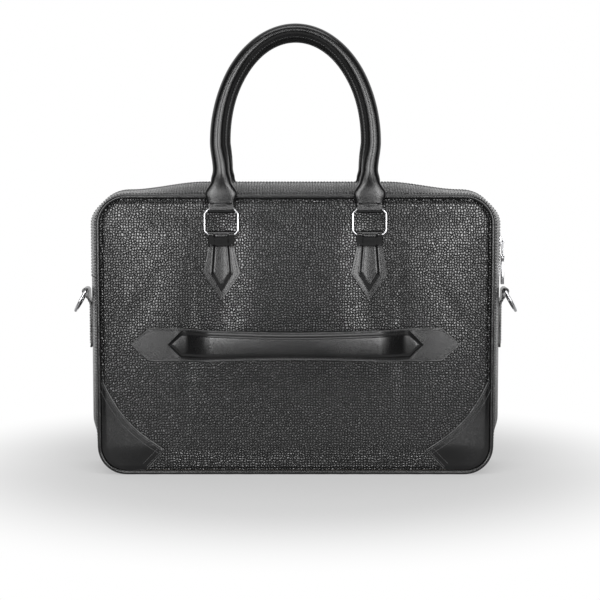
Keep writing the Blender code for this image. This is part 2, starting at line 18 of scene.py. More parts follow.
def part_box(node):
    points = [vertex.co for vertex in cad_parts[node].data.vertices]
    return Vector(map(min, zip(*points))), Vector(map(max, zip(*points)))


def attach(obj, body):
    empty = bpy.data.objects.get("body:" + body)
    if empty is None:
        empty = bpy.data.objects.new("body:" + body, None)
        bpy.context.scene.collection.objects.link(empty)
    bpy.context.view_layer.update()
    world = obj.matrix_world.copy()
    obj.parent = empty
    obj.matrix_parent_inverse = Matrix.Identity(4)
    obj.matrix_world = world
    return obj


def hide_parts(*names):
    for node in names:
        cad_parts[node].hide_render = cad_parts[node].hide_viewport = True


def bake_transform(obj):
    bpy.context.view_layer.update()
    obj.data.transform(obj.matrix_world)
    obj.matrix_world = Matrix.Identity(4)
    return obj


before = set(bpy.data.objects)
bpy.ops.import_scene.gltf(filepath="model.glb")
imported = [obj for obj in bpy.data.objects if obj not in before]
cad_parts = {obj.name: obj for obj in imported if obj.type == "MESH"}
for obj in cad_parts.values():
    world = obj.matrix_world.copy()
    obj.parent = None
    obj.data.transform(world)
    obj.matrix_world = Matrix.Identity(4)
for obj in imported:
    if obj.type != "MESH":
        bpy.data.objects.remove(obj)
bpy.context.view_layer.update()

# %% [markdown]
# ## Sizes
#
# The boxes of the solids give nearly every size, so the looks stay right if the part is built larger or
# smaller. Only what a box can't tell, such as a corner radius or the thickness of leather, is a value of
# its own, in metres.

# %% Sizes read from the solids
MM = 0.001
LEATHER = 1.8 * MM
GAP = 0.3 * MM
TOP_RADIUS = 30 * MM
BASE_RADIUS = 28 * MM
FACES = {"rear": -1, "front": 1}
SIDES = {"left": -1, "right": 1}
CORNERS = [(f"{word}_{side_word}", face, side) for word, face in FACES.items() for side_word, side in SIDES.items()]

panel_low, panel_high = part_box("rear_panel")
piping_low, piping_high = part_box("rear_piping")
gusset_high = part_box("gusset")[1]

HALF_WIDTH, CASE_HEIGHT = piping_high.x, piping_high.z
PIPING_RADIUS = (piping_high.y - piping_low.y) / 2
PIPING_Y = -(piping_high.y + piping_low.y) / 2
PANEL_Y = -panel_low.y
PANEL_FOOT, PANEL_TOP = panel_low.z, panel_high.z
PANEL_INSET = HALF_WIDTH - panel_high.x
BAND_HALF = gusset_high.y
SIDE_BULGE = gusset_high.x - HALF_WIDTH
ZIP_END = gusset_high.z + GAP
TOP_HALF = HALF_WIDTH - TOP_RADIUS
BASE_HALF = HALF_WIDTH - BASE_RADIUS

ring_low, ring_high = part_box("rear_right_ring")
RING_WIRE = (ring_high.y - ring_low.y) / 2
RING_X = (ring_low.x + ring_high.x) / 2
RING_Y = -(ring_low.y + ring_high.y) / 2
RING_LOW = ring_low.z + RING_WIRE
RING_HIGH = ring_high.z - RING_WIRE
print(f"case {2 * HALF_WIDTH:.3f} x {2 * (PIPING_Y + PIPING_RADIUS):.3f} x {CASE_HEIGHT:.3f} m")

# %% [markdown]
# ## Laying sheets and tubes
#
# Leather work is sheet work. One helper lays a grid on a surface and pulls a second face out behind it,
# which gives a closed piece with a real edge. The other rolls the grid into a tube, for cord, wire and the
# rolled handles. Both begin as Blender's own grid, so there are no hand-made lists of faces.

# %% Helpers for shapes
WELD = 0.02 * MM
RIM_ANGLE = math.radians(60)
CREASE_ANGLE = math.radians(38)


def held(share):
    return min(max(share, 0), 1)


def smooth(share):
    """0 to 1 in a soft S, level at both ends."""
    return held(share) * held(share) * (3 - 2 * held(share))


def between(low, high, share):
    return low + (high - low) * share


def spread(low, high, steps):
    return [between(low, high, i / steps) for i in range(steps + 1)]


def bell(distance, width):
    return math.exp(-(distance / width) ** 2)


def reading(value, places, ease=smooth):
    """The size at a value among (value, size) pairs, which rise. Eased by held, it keeps the corners of a cut."""
    for (low, size), (high, next_size) in zip(places, places[1:]):
        if value <= high:
            return between(size, next_size, ease((value - low) / (high - low)))
    return places[-1][1]


def slab(columns, rows, place, cut=None):
    """A sheet with thickness: place(u, v, depth) gives its outer face at depth 0 and its inner face at 1.
    cut(u, v) is where that point lay on the flat hide, in metres, for grain that follows the leather."""
    shape = bmesh.new()
    bmesh.ops.create_grid(shape, x_segments=columns, y_segments=rows, size=0.5)
    outer = list(shape.verts)
    grown = bmesh.ops.extrude_face_region(shape, geom=list(shape.faces))["geom"]
    inner = [part for part in grown if isinstance(part, bmesh.types.BMVert)]
    if cut:
        flat = shape.loops.layers.uv.new("cut")
        for loop in (loop for face in shape.faces for loop in face.loops):
            loop[flat].uv = cut(loop.vert.co.x + 0.5, loop.vert.co.y + 0.5)
    for corners, depth in ((outer, 0), (inner, 1)):
        for corner in corners:
            corner.co = place(corner.co.x + 0.5, corner.co.y + 0.5, depth)
    return shape


def tube(columns, rows, place, closed=False):
    """A grid rolled up: u goes round and v goes along. An open tube gets a face on each end."""
    shape = bmesh.new()
    bmesh.ops.create_grid(shape, x_segments=columns, y_segments=rows, size=0.5)
    for corner in shape.verts:
        corner.co = place(corner.co.x + 0.5, corner.co.y + 0.5)
    bmesh.ops.remove_doubles(shape, verts=shape.verts, dist=WELD)
    if not closed:
        bmesh.ops.holes_fill(shape, edges=[edge for edge in shape.edges if edge.is_boundary])
    return shape


def soften(shape, width, angle=RIM_ANGLE):
    """Rounds the sharp edges: on leather the cut edges, which are painted and burnished on the real one."""
    rims = [edge for edge in shape.edges if edge.calc_face_angle(0) > angle]
    bmesh.ops.bevel(shape, geom=rims, offset=width, segments=2, profile=0.5, affect="EDGES", material=-1,
                    clamp_overlap=True)
    return shape


def keep(name, shape, finish, body=None, stands_for=()):
    """Turns a bmesh into a finished piece that rides on a body and stands for some solids."""
    bmesh.ops.remove_doubles(shape, verts=shape.verts, dist=WELD)
    bmesh.ops.recalc_face_normals(shape, faces=shape.faces)
    mesh = bpy.data.meshes.new(name)
    shape.to_mesh(mesh)
    shape.free()
    mesh.shade_smooth()
    mesh.set_sharp_from_angle(angle=CREASE_ANGLE)
    mesh.materials.append(finish)
    piece = bpy.data.objects.new(name, mesh)
    bpy.context.scene.collection.objects.link(piece)
    if body:
        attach(piece, body)
    if stands_for:
        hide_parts(*stands_for)
    print(name, len(mesh.polygons), "faces")
    return piece


# %% [markdown]
# ## Shader maths in Python
#
# A finish is a sum of simple patterns: cells for the grain, noise for wear, waves for weave. Wrapping a
# node's output in a small class lets those sums be written as plain expressions, and one method adds any
# other node.

# %% A socket that can be added and multiplied
class Signal:
    """A node's output. Operators on it add Math nodes; node() adds any other."""

    def __init__(self, socket):
        self.socket = socket

    def node(self, kind, settings, sockets, output=0):
        tree = self.socket.id_data
        made = tree.nodes.new(kind)
        for name, value in settings.items():
            if name == "stops":
                ramp = made.color_ramp.elements
                for step, (place, colour) in enumerate(value):
                    stop = ramp[step] if step < 2 else ramp.new(place)
                    stop.position = place
                    stop.color = (*colour, 1)
            else:
                setattr(made, name, value)
        for name, value in sockets.items():
            if isinstance(value, Signal):
                tree.links.new(value.socket, made.inputs[name])
            else:
                made.inputs[name].default_value = value
        return Signal(made.outputs[output])

    def maths(self, operation, first, second):
        return self.node("ShaderNodeMath", {"operation": operation}, {0: first, 1: second})

    def __add__(self, other):
        return self.maths("ADD", self, other)

    __radd__ = __add__

    def __sub__(self, other):
        return self.maths("SUBTRACT", self, other)

    def __rsub__(self, other):
        return self.maths("SUBTRACT", other, self)

    def __mul__(self, other):
        return self.maths("MULTIPLY", self, other)

    __rmul__ = __mul__

    def __pow__(self, other):
        return self.maths("POWER", self, other)

    def held(self):
        return self.node("ShaderNodeClamp", {}, {"Value": self})

    def noise(self, size, detail=2.0, output="Fac"):
        return self.node("ShaderNodeTexNoise", {}, {"Vector": self, "Scale": 1 / size, "Detail": detail}, output)

    def cells(self, size, feature="F1", across="3D"):
        return self.node("ShaderNodeTexVoronoi", {"feature": feature, "voronoi_dimensions": across},
                         {"Vector": self, "Scale": 1 / size, "Randomness": 0.74}, "Distance")

    def shifted(self, size, amount):
        """These coordinates pushed about by noise, so that a regular pattern looks grown."""
        push = self.noise(size, 1.0, "Color")
        return self.node("ShaderNodeVectorMath", {"operation": "MULTIPLY_ADD"},
                         {0: push, 1: (amount, amount, amount), 2: self})

    def waves(self, way, scale):
        return self.node("ShaderNodeTexWave", {"bands_direction": way}, {"Vector": self, "Scale": scale}, "Fac")

    def part(self, axis):
        return self.node("ShaderNodeSeparateXYZ", {}, {"Vector": self}, axis)

    def rise(self, low, high):
        """0 below low, 1 above high and a soft S between."""
        return self.node("ShaderNodeMapRange", {"interpolation_type": "SMOOTHSTEP"},
                         {"Value": self, "From Min": low, "From Max": high})

    def ramp(self, *stops):
        return self.node("ShaderNodeValToRGB", {"stops": stops}, {"Fac": self}, "Color")

    def bump(self, depth, strength=1.0):
        return self.node("ShaderNodeBump", {}, {"Height": self, "Distance": depth, "Strength": strength}, "Normal")


def finish_of(name, constants):
    """A new material: its shader, and Object coordinates to draw patterns on."""
    material = bpy.data.materials.new(name)
    material.use_nodes = True
    tree = material.node_tree
    shader = tree.nodes["Principled BSDF"]
    for socket, value in constants.items():
        shader.inputs[socket].default_value = value
    place = tree.nodes.new("ShaderNodeTexCoord").outputs["Object"]
    return material, shader, Signal(place)


def feed(shader, **signals):
    """Links Base_Color=..., Roughness=... and so on to the shader."""
    for name, signal in signals.items():
        shader.id_data.links.new(signal.socket, shader.inputs[name.replace("_", " ")])


def show(surface):
    """Puts a mixed shader in place of the plain one."""
    tree = surface.socket.id_data
    tree.links.new(surface.socket, tree.nodes["Material Output"].inputs["Surface"])


print("shader helpers ready")

# %% [markdown]
# ## Grained leather
#
# The body is black calf with a pressed pebble grain: rounded cells under 3 mm across with dark creases
# between them. A photograph of leather could be mapped on, but it would repeat and stretch. Cell noise gives
# the pebbles at their true size. It is drawn on the flat cut of each piece, kept as a UV map in metres, so the
# pebbles stay round where the leather bends. Wide noise makes the grain deeper in some places than in others.
# A bump can't shade itself, so the creases get painted shade: their base colour is darker, and a second, dark and
# dull shader is mixed in along them. Only the tops of the pebbles carry the polish.

# %% Finish: grained leather
PEBBLE = 2.6 * MM
GRAIN_DEPTH = 0.5 * MM


def make_grained_leather():
    material, shader, place = finish_of("grained_leather_finish", {
        "Specular IOR Level": 1.0, "Coat Roughness": 0.24})
    cut = place.node("ShaderNodeUVMap", {"uv_map": "cut"}, {}, "UV")
    wandering = cut.shifted(11 * MM, 1.5 * MM)
    domes = 1 - wandering.cells(PEBBLE, across="2D") ** 2.0
    creases = wandering.cells(PEBBLE, "DISTANCE_TO_EDGE", "2D")
    hide = place.noise(34 * MM, 3.0)
    fine = place.noise(0.5 * MM, 2.0)
    pebble_tops = creases.rise(0.02, 0.42)
    height = pebble_tops * (0.55 + hide * 0.5) + domes * 0.25 + cut.noise(4.5 * MM) * 0.25 + fine * 0.03
    # The base colour is darker in the creases than on the pebble tops: painted shade.
    feed(shader,
         Base_Color=pebble_tops.ramp((0.0, (0.0015, 0.0015, 0.0016)), (1.0, (0.006, 0.006, 0.0062))),
         Roughness=0.26 - pebble_tops * 0.04 + (hide - 0.5) * 0.08,
         Coat_Weight=(pebble_tops * 1.6 - 0.4).held(),
         Normal=height.bump(GRAIN_DEPTH))
    # Painted shade: a dark, dull shader mixed in along the creases, since a bump can't darken them.
    painted_crease_shade = place.node("ShaderNodeBsdfPrincipled", {}, {"Base Color": (0.002, 0.002, 0.002, 1), "Roughness": 0.5,
                                                      "Specular IOR Level": 0.15})
    show(place.node("ShaderNodeMixShader", {}, {0: creases.rise(0.02, 0.17), 1: painted_crease_shade, 2: Signal(shader.outputs[0])}))
    return material


grained_leather = make_grained_leather()
print(grained_leather.name, len(grained_leather.node_tree.nodes), "nodes")

# %% [markdown]
# ## Smooth leather
#
# Handles, tabs, strap, piping and corner patches are cut from smoother leather of the same black. It still
# has pores, but ten times finer than the grain, and a polished, slightly uneven sheen. The same recipe at a
# smaller size keeps the two leathers related.

# %% Finish: smooth leather
def make_smooth_leather():
    material, shader, place = finish_of("smooth_leather_finish", {
        "Specular IOR Level": 0.55, "Coat Roughness": 0.12})
    pores = place.shifted(1.5 * MM, 0.3 * MM).cells(0.62 * MM)
    creases = place.shifted(6 * MM, 2 * MM).noise(2.4 * MM, 4.0)
    sheen = place.noise(26 * MM, 3.0)
    height = creases * 0.5 - pores * 0.35
    feed(shader,
         Base_Color=sheen.ramp((0.3, (0.003, 0.003, 0.0032)), (0.75, (0.0055, 0.0055, 0.0058))),
         Roughness=0.23 + (sheen - 0.5) * 0.12 + pores * 0.05,
         Coat_Weight=(0.16 + (sheen - 0.5) * 0.3).held(),
         Normal=height.bump(0.12 * MM))
    return material


smooth_leather = make_smooth_leather()
print(smooth_leather.name, len(smooth_leather.node_tree.nodes), "nodes")

# %% [markdown]
# ## Metal, thread, zip, cloth and the hidden stiffeners
#
# The hardware is nickel: bright, with faint rubbing marks. The thread is black, waxed and twisted, which slanting
# waves show, and its dark grey colour is a painted highlight. Cut edges of leather are painted, and the paint is
# coloured grey as a painted highlight, a thin line of light, with rubbing marks in it. Tape and lining are woven,
# so waves cross on them. Board and handle cord are seen only when the bag is taken apart, but they are still
# fibre and felt, not flat colour. What is only rubbed and scratched shares one recipe.

# %% Finishes: everything else
TURNS_PER_SCALE = 3.18


def make_rubbed(name, constants, wear, stops, rough, marks, depth):
    """Metal, paint or nylon: wear shows in its colour and gloss, and finer marks in relief."""
    material, shader, place = finish_of(name, constants)
    rubbed, scratched = place.noise(*wear), place.noise(*marks)
    feed(shader,
         Base_Color=rubbed.ramp(*stops),
         Roughness=rough[0] + rubbed * rough[1] + scratched * rough[2],
         Normal=scratched.bump(depth))
    return material


def make_thread():
    material, shader, place = finish_of("thread_highlight_finish", {"Specular IOR Level": 0.45})
    twist = place.waves("DIAGONAL", 420.0)
    # The thread is black: its dark grey base colour, with lighter stripes along the twist, is a painted highlight.
    feed(shader,
         Base_Color=twist.ramp((0.1, (0.035, 0.035, 0.035)), (0.9, (0.1, 0.1, 0.102))),
         Roughness=0.52 - twist * 0.16,
         Normal=twist.bump(0.05 * MM))
    return material


def make_woven(name, yarn, dark, light, rough):
    material, shader, place = finish_of(name, {"Specular IOR Level": 0.3})
    turns = 1 / (2 * yarn)
    warp, weft, cross = (place.waves(way, turns / TURNS_PER_SCALE) for way in "XZY")
    slub = place.noise(5 * MM, 3.0)
    weave = (warp + cross) * weft * 0.5 + slub * 0.4
    feed(shader,
         Base_Color=weave.ramp((0.1, dark), (0.9, light)),
         Roughness=rough - weave * 0.1,
         Normal=weave.bump(0.15 * MM))
    return material


def make_fibre(name, dark, light, size):
    material, shader, place = finish_of(name, {"Specular IOR Level": 0.2})
    flecks = place.noise(size, 5.0)
    lumps = place.noise(9 * size, 3.0)
    feed(shader,
         Base_Color=(flecks * 0.7 + lumps * 0.3).ramp((0.3, dark), (0.75, light)),
         Roughness=0.78 + flecks * 0.15,
         Normal=flecks.bump(0.2 * MM))
    return material


nickel = make_rubbed("nickel_finish", {"Metallic": 1.0}, (7 * MM, 4.0),
                     ((0.3, (0.62, 0.62, 0.64)), (0.8, (0.83, 0.83, 0.84))),
                     (0.15, 0.12, 0.05), (0.35 * MM, 2.0), 0.01 * MM)
thread = make_thread()
# The edge paint's grey is a painted highlight: the black edge paint is coloured grey to show a thin line of light.
edge_highlight_paint = make_rubbed("edge_highlight_paint_finish", {"Specular IOR Level": 0.7}, (9 * MM, 3.0),
                         ((0.35, (0.07, 0.07, 0.07)), (0.65, (0.17, 0.17, 0.17))),
                         (0.28, 0.12, 0), (0.6 * MM, 2.0), 0.03 * MM)
zip_coil = make_rubbed("zip_coil_finish", {"Specular IOR Level": 0.5}, (1.2 * MM, 3.0),
                       ((0.3, (0.010, 0.010, 0.011)), (0.8, (0.030, 0.030, 0.031))),
                       (0.30, 0.2, 0), (1.2 * MM, 3.0), 0.02 * MM)
zip_cloth = make_woven("zip_tape_finish", 0.45 * MM, (0.006, 0.006, 0.006), (0.022, 0.022, 0.023), 0.8)
lining_cloth = make_woven("lining_finish", 0.6 * MM, (0.022, 0.022, 0.024), (0.075, 0.075, 0.08), 0.85)
board_fibre = make_fibre("board_finish", (0.14, 0.12, 0.10), (0.32, 0.29, 0.25), 1.1 * MM)
cord_felt = make_fibre("cord_finish", (0.36, 0.33, 0.29), (0.62, 0.58, 0.52), 0.8 * MM)
print("finishes", len(bpy.data.materials))

# %% [markdown]
# ## The soft panels
#
# Each big face is leather over a thin board, with enough padding to swell between its seams. The handle tabs
# and the sewn ends of the strap pull it back in, which leaves upright hollows. A cloth simulation would give
# random folds; the folds here are few and known, so one function says how far the leather stands out at each
# place, and the tabs, patches and strap that are sewn on it ask the same function where they lie.

# %% How far a panel swells
PANEL_SWELL = 4.2 * MM
SIDE_RUN, HEAD_RUN, FOOT_RUN = 62 * MM, 44 * MM, 26 * MM
TAB_PULL, TAB_HOLLOW = 2.3 * MM, 19 * MM
HOLLOW_FOOT, HOLLOW_RUN = 118 * MM, 50 * MM
SEWN_PULL, SEWN_X, SEWN_Z = 1.1 * MM, 104 * MM, 130 * MM
FOLD_PULL, FOLD_X, FOLD_Z = 0.66 * MM, 170 * MM, 165 * MM
EDGE_TUCK, TUCK_RUN = 1.3 * MM, 4.5 * MM
SKIVED, SKIVE_RUN = 0.55, 6 * MM


def edge_half(z, inset):
    """Half the width of the case's outline at a height, drawn in by inset."""
    corners = ((z - CASE_HEIGHT + TOP_RADIUS, TOP_RADIUS, TOP_HALF), (BASE_RADIUS - z, BASE_RADIUS, BASE_HALF))
    for past, radius, half in corners:
        if past > 0:
            return half + math.sqrt(max((radius - inset) ** 2 - past ** 2, 0))
    return HALF_WIDTH - inset


def panel_swell(x, z, face):
    """How far the panel's outer side stands past its flat solid at (x, z). A stuffed side is steepest at its edge."""
    inside = edge_half(z, PANEL_INSET) - abs(x)
    side = 1 - (1 - held(inside / SIDE_RUN)) ** 2
    head = smooth((PANEL_TOP - z) / HEAD_RUN)
    foot = smooth((z - PANEL_FOOT) / FOOT_RUN)
    swell = PANEL_SWELL * side * head * foot
    swell -= TAB_PULL * bell(abs(x) - RING_X, TAB_HOLLOW) * smooth((z - HOLLOW_FOOT) / HOLLOW_RUN) * head
    if face < 0:
        above = z - SEWN_Z
        swell -= SEWN_PULL * bell(abs(x) - SEWN_X + 0.02 * above, 5 * MM) * bell(above, 62 * MM)
        swell -= FOLD_PULL * bell(abs(x) - FOLD_X + 0.5 * above, 9 * MM) * bell(z - FOLD_Z, 26 * MM)
    lip = min(inside, PANEL_TOP - z, z - PANEL_FOOT)
    return swell - EDGE_TUCK * (1 - smooth(lip / TUCK_RUN))


def crowded(share):
    """Rows crowd towards the head and the foot, where the outline turns its corners."""
    return 0.5 - 0.5 * math.cos(math.pi * share)


def panel_place(face, u, v, depth):
    z = between(PANEL_FOOT, PANEL_TOP, crowded(v))
    half = edge_half(z, PANEL_INSET)
    x = half * math.sin(math.pi * (u - 0.5))
    skived = between(SKIVED, 1, smooth((half - abs(x)) / SKIVE_RUN)) * LEATHER
    return x, face * (PANEL_Y + panel_swell(x, z, face) - depth * skived), z


for word, face in FACES.items():
    place = partial(panel_place, face)
    shape = slab(132, 108, place, lambda u, v: place(u, v, 0)[::2])
    panel = keep(f"{word}_panel_leather", shape, grained_leather, "case", [f"{word}_panel"])

# %% [markdown]
# ## Piping
#
# A thin rolled cord of leather is caught in the seam round each panel. It is a tube along the case's
# rounded outline. A curve with a bevel would do as well, but rolling a grid keeps one way of making every
# tube, and lets the cord swell and shrink a little, as hand-rolled piping does.

# %% Walking along a line
def rounded_outline(inset, steps=24):
    """The case's outline as (x, z) points, from the middle of the top round to the left."""
    def arc(x, z, radius, start):
        turns = [start - math.pi / 2 * i / steps for i in range(steps + 1)]
        return [(x + radius * math.cos(a), z + radius * math.sin(a)) for a in turns]

    top, base = TOP_RADIUS - inset, BASE_RADIUS - inset
    top_z = CASE_HEIGHT - TOP_RADIUS
    right = arc(TOP_HALF, top_z, top, math.pi / 2) + arc(BASE_HALF, BASE_RADIUS, base, 0)
    left = [(-x, z) for x, z in right[::-1]]
    return [(0, CASE_HEIGHT - inset)] + right + left


def walk(points, pitch, closed=False):
    """Even steps along a line of Vectors: (place, direction) at each."""
    line = points + points[:1] if closed else points
    lengths = [(b - a).length for a, b in zip(line, line[1:])]
    total = sum(lengths)
    count = max(round(total / pitch), 1)
    marks, travelled, here = [], 0.0, 0
    for i in range(count if closed else count + 1):
        target = min(i * (total / count), total - WELD)
        while travelled + lengths[here] < target:
            travelled += lengths[here]
            here += 1
        direction = (line[here + 1] - line[here]).normalized()
        marks.append((line[here] + direction * (target - travelled), direction))
    return marks


def wire(columns, marks, flat, radius, closed=True, swell=lambda share: 1):
    """A round wire along marks that lie in a plane whose normal is flat."""
    count = len(marks)
    rows = count if closed else count - 1

    def place(u, v):
        step = round(v * rows) % count
        spot, direction = marks[step]
        before = marks[step - 1][1] if closed or step else direction
        out = flat.cross(direction + before).normalized()
        turn = 2 * math.pi * u
        return spot + (out * math.cos(turn) + flat * math.sin(turn)) * radius * swell(step / count)

    return tube(columns, rows, place, closed)


ACROSS = Vector((0, 1, 0))
EDGE_BEAD = 0.45 * MM


def painted_edge(name, points, closed=False):
    """The rounded bead of paint on a cut edge, coloured grey as a painted highlight, which draws a thin line of light
    round a piece.
    """
    shape = wire(8, walk(points, 1.5 * MM, closed), ACROSS, EDGE_BEAD, closed)
    keep(name, shape, edge_highlight_paint, "case")


def hand_rolled(share):
    return 0.97 + 0.03 * math.sin(2 * math.pi * 61 * share) * math.sin(2 * math.pi * 7 * share)


for word, face in FACES.items():
    line = [Vector((x, face * PIPING_Y, z)) for x, z in rounded_outline(PIPING_RADIUS)]
    shape = wire(14, walk(line, 3 * MM, True), ACROSS, PIPING_RADIUS, swell=hand_rolled)
    keep(f"{word}_piping_cord", shape, smooth_leather, "case", [f"{word}_piping"])

# %% [markdown]
# ## Stitches
#
# Every seam is sewn with black waxed thread, about nine stitches to the inch. A texture could fake them, but
# they catch the light and break the outline of the handles. Each stitch is a twenty-sided ball, stretched
# along its seam and pressed into the leather, so thousands cost little.

# %% Sewing a row
STITCH_LENGTH = 2.3 * MM
STITCH_PITCH = 3.0 * MM
STITCH_WIDTH = 0.95 * MM
STITCH_PROUD = 0.28


def ball(shape, spot, along, across, up):
    """A twenty-sided ball stretched to three half axes."""
    turn = Matrix((along, across, up)).transposed()
    bmesh.ops.create_icosphere(shape, subdivisions=1, radius=1.0, matrix=Matrix.Translation(spot) @ turn.to_4x4())


def sew(shape, marks, normal_at, slant=0.0):
    """Adds a stitch at each mark, lying on the surface whose outward direction normal_at gives."""
    for spot, direction in marks:
        normal = normal_at(spot).normalized()
        side = normal.cross(direction).normalized()
        along = (direction + side * slant).normalized()
        ball(shape, spot + normal * STITCH_WIDTH * STITCH_PROUD, along * STITCH_LENGTH / 2,
             normal.cross(along) * STITCH_WIDTH / 2, normal * STITCH_WIDTH / 2)


def keep_rows(name, rows, pitch, normal, slants=(0.0, 0.0)):
    """Rows of stitches, each a list of points on a nearly flat face of the case."""
    shape = bmesh.new()
    for points, slant in zip(rows, slants):
        sew(shape, walk(points, pitch), lambda spot: Vector(normal), slant)
    keep(name, shape, thread, "case")


print("stitch", STITCH_LENGTH, "every", STITCH_PITCH)

# %% [markdown]
# ## Gusset and zip strips
#
# The gusset is the band that joins the two faces. It swells outwards along its middle, most of all at the
# top, where two strips meet at the zip. Each station along the band has a place, an outward direction and a
# swell; a sheet laid over the stations follows them. The strips over the top belong to the opening flaps, and
# their ends go round the corners.

# %% Stations along the band
TOP_CROWN = 11 * MM
CORNER_BULGE = 3 * MM
CROWN_RUN = 75 * MM
BASE_RUN = 25 * MM
FLAP_REACH = 125 * MM
BEND_START = 170 * MM


def top_station(x):
    swell = CORNER_BULGE + (TOP_CROWN - CORNER_BULGE) * smooth((TOP_HALF - abs(x)) / CROWN_RUN)
    return x, CASE_HEIGHT, 0, 1, swell


def arc_station(side, half, radius, z, turn, swell=0):
    """On a rounded corner, where turn 0 looks out to the side."""
    out, up = math.cos(turn), math.sin(turn)
    return side * (half + radius * out), z + radius * up, side * out, up, swell


def side_station(side, z, inset=0.0, bulge=SIDE_BULGE):
    return side * (HALF_WIDTH - inset), z, side, 0, bulge * smooth((z - BASE_RADIUS) / BASE_RUN)


def corner_swell(turn):
    return between(SIDE_BULGE, CORNER_BULGE, smooth(turn / (math.pi / 4)))


def end_stations(side):
    """From the flap's end, round the top corner and down to the end of the zip."""
    low = CASE_HEIGHT - TOP_RADIUS
    top = [top_station(side * x) for x in spread(FLAP_REACH, TOP_HALF, 20)]
    corner = [arc_station(side, TOP_HALF, TOP_RADIUS, low, turn, corner_swell(turn))
              for turn in spread(math.pi / 2, 0, 20)]
    down = [side_station(side, z) for z in spread(low, ZIP_END, 16)]
    return top + corner[1:] + down[1:]


def base_stations(inset, top, bulge):
    """Down the right side, under the base and up the left."""
    half = [side_station(1, z, inset, bulge) for z in spread(top, BASE_RADIUS, 44)]
    half += [arc_station(1, BASE_HALF, BASE_RADIUS - inset, BASE_RADIUS, turn)
             for turn in spread(0, -math.pi / 2, 18)[1:]]
    half += [(x, inset, 0, -1, 0) for x in spread(BASE_HALF, 0, 30)[1:]]
    return half + [(-x, z, -out_x, out_z, swell) for x, z, out_x, out_z, swell in half[-2::-1]]


flap_stations = [top_station(x) for x in spread(-FLAP_REACH, FLAP_REACH, 84)]
print("stations", len(flap_stations), "over the top")

# %% Leather of the band
def band_point(station, y, height):
    x, z, out_x, out_z, swell = station
    up = swell * (1 - (y / BAND_HALF) ** 2) + height
    return Vector((x + out_x * up, y, z + out_z * up))


def band_normal(station, y):
    x, z, out_x, out_z, swell = station
    return Vector((out_x, 2 * swell * y / BAND_HALF ** 2, out_z)).normalized()


def band(stations, columns, low, high, top, thickness):
    """A sheet across the band from low to high, its outer side at top above the leather's."""
    rows = len(stations) - 1
    middle = [band_point(station, 0, top) for station in stations]
    run = list(accumulate(((b - a).length for a, b in zip(middle, middle[1:])), initial=0.0))

    def place(u, v, depth):
        return band_point(stations[round(v * rows)], between(low, high, u), top - depth * thickness)

    return slab(columns, rows, place, lambda u, v: (between(low, high, u), run[round(v * rows)]))


def band_stitches(stations, places):
    """Rows of stitches along the band, each at one distance from its middle."""
    shape = bmesh.new()
    for y in places:
        def normal_at(spot):
            nearest = min(stations, key=lambda s: (s[0] - spot.x) ** 2 + (s[1] - spot.z) ** 2)
            return band_normal(nearest, y)

        sew(shape, walk([band_point(station, y, 0) for station in stations], STITCH_PITCH), normal_at)
    return shape


SEAM_STITCH = 2.6 * MM
body_stations = base_stations(0.0, gusset_high.z, SIDE_BULGE)
keep("gusset_leather", band(body_stations, 28, -BAND_HALF, BAND_HALF, 0, LEATHER), grained_leather, "case", ["gusset"])
seams = [face * (BAND_HALF - SEAM_STITCH) for face in FACES.values()]
keep("gusset_stitches", band_stitches(body_stations, seams), thread, "case")

# %% [markdown]
# ### The strips that open
#
# Each strip is turned under at the zip and sewn twice: once beside the piping and once beside the zip. Over
# the top the thread rides on the flap with the strip beneath it, so it follows the leather when the flap opens.

# %% Zip strips and their stitching
SLOT_HALF = -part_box("rear_zip_strip")[1].y


def zip_runs():
    """The three lengths of each half of the zip: name, face, the flap's body, stations and the corner's side."""
    for word, face in FACES.items():
        yield f"{word}_flap", face, f"{word}_flap", flap_stations, 0
        for side_word, side in SIDES.items():
            yield f"{word}_{side_word}_strip", face, f"{word}_flap", end_stations(side), side


def keep_on_band(name, shape, finish, flap, side, stands_for=()):
    """Over the top a piece rides on the flap. Round a corner it rides on no body and is left where it is laid."""
    piece = keep(name, shape, finish, None if side else flap, stands_for)
    if side:
        side * BEND_START
        side * FLAP_REACH
        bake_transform(piece)


def solid_of(run, kind):
    return run.replace("flap", "strip").replace("strip", kind)


for run, face, flap, stations, side in zip_runs():
    shape = soften(band(stations, 18, face * BAND_HALF, face * SLOT_HALF, 0, LEATHER), 0.6 * MM)
    keep_on_band(f"{run}_leather", shape, grained_leather, flap, side, [solid_of(run, "zip_strip")])
    seams = [face * (BAND_HALF - SEAM_STITCH), face * (SLOT_HALF + 2 * MM)]
    keep_on_band(f"{run}_stitches", band_stitches(stations, seams), thread, flap, side)

# %% [markdown]
# ### Zip tape and coil
#
# Under the slot lie two woven tapes, each with a nylon coil along its edge. A true coil would be a long
# helix that nobody can see into, so each turn of it is one small bead that reaches for the gap between two
# beads opposite.

# %% Tape and coil
TAPE = 0.8 * MM
TAPE_HALF = -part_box("rear_zip_tape")[0].y
COIL_INNER = -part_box("rear_zip_tape")[1].y
COIL_PITCH = 1.5 * MM
COIL_Y = 1.75 * MM
COIL_DEPTH = -1.0 * MM
COIL_HALF = (0.55 * MM, 1.35 * MM, 0.62 * MM)


def coil(stations, face):
    shape = bmesh.new()
    line = [band_point(station, face * COIL_Y, COIL_DEPTH) for station in stations]
    for spot, direction in walk(line, COIL_PITCH):
        axes = direction, ACROSS, direction.cross(ACROSS).normalized()
        ball(shape, spot + direction * (face * COIL_PITCH / 4), *(axis * half for axis, half in zip(axes, COIL_HALF)))
    return shape


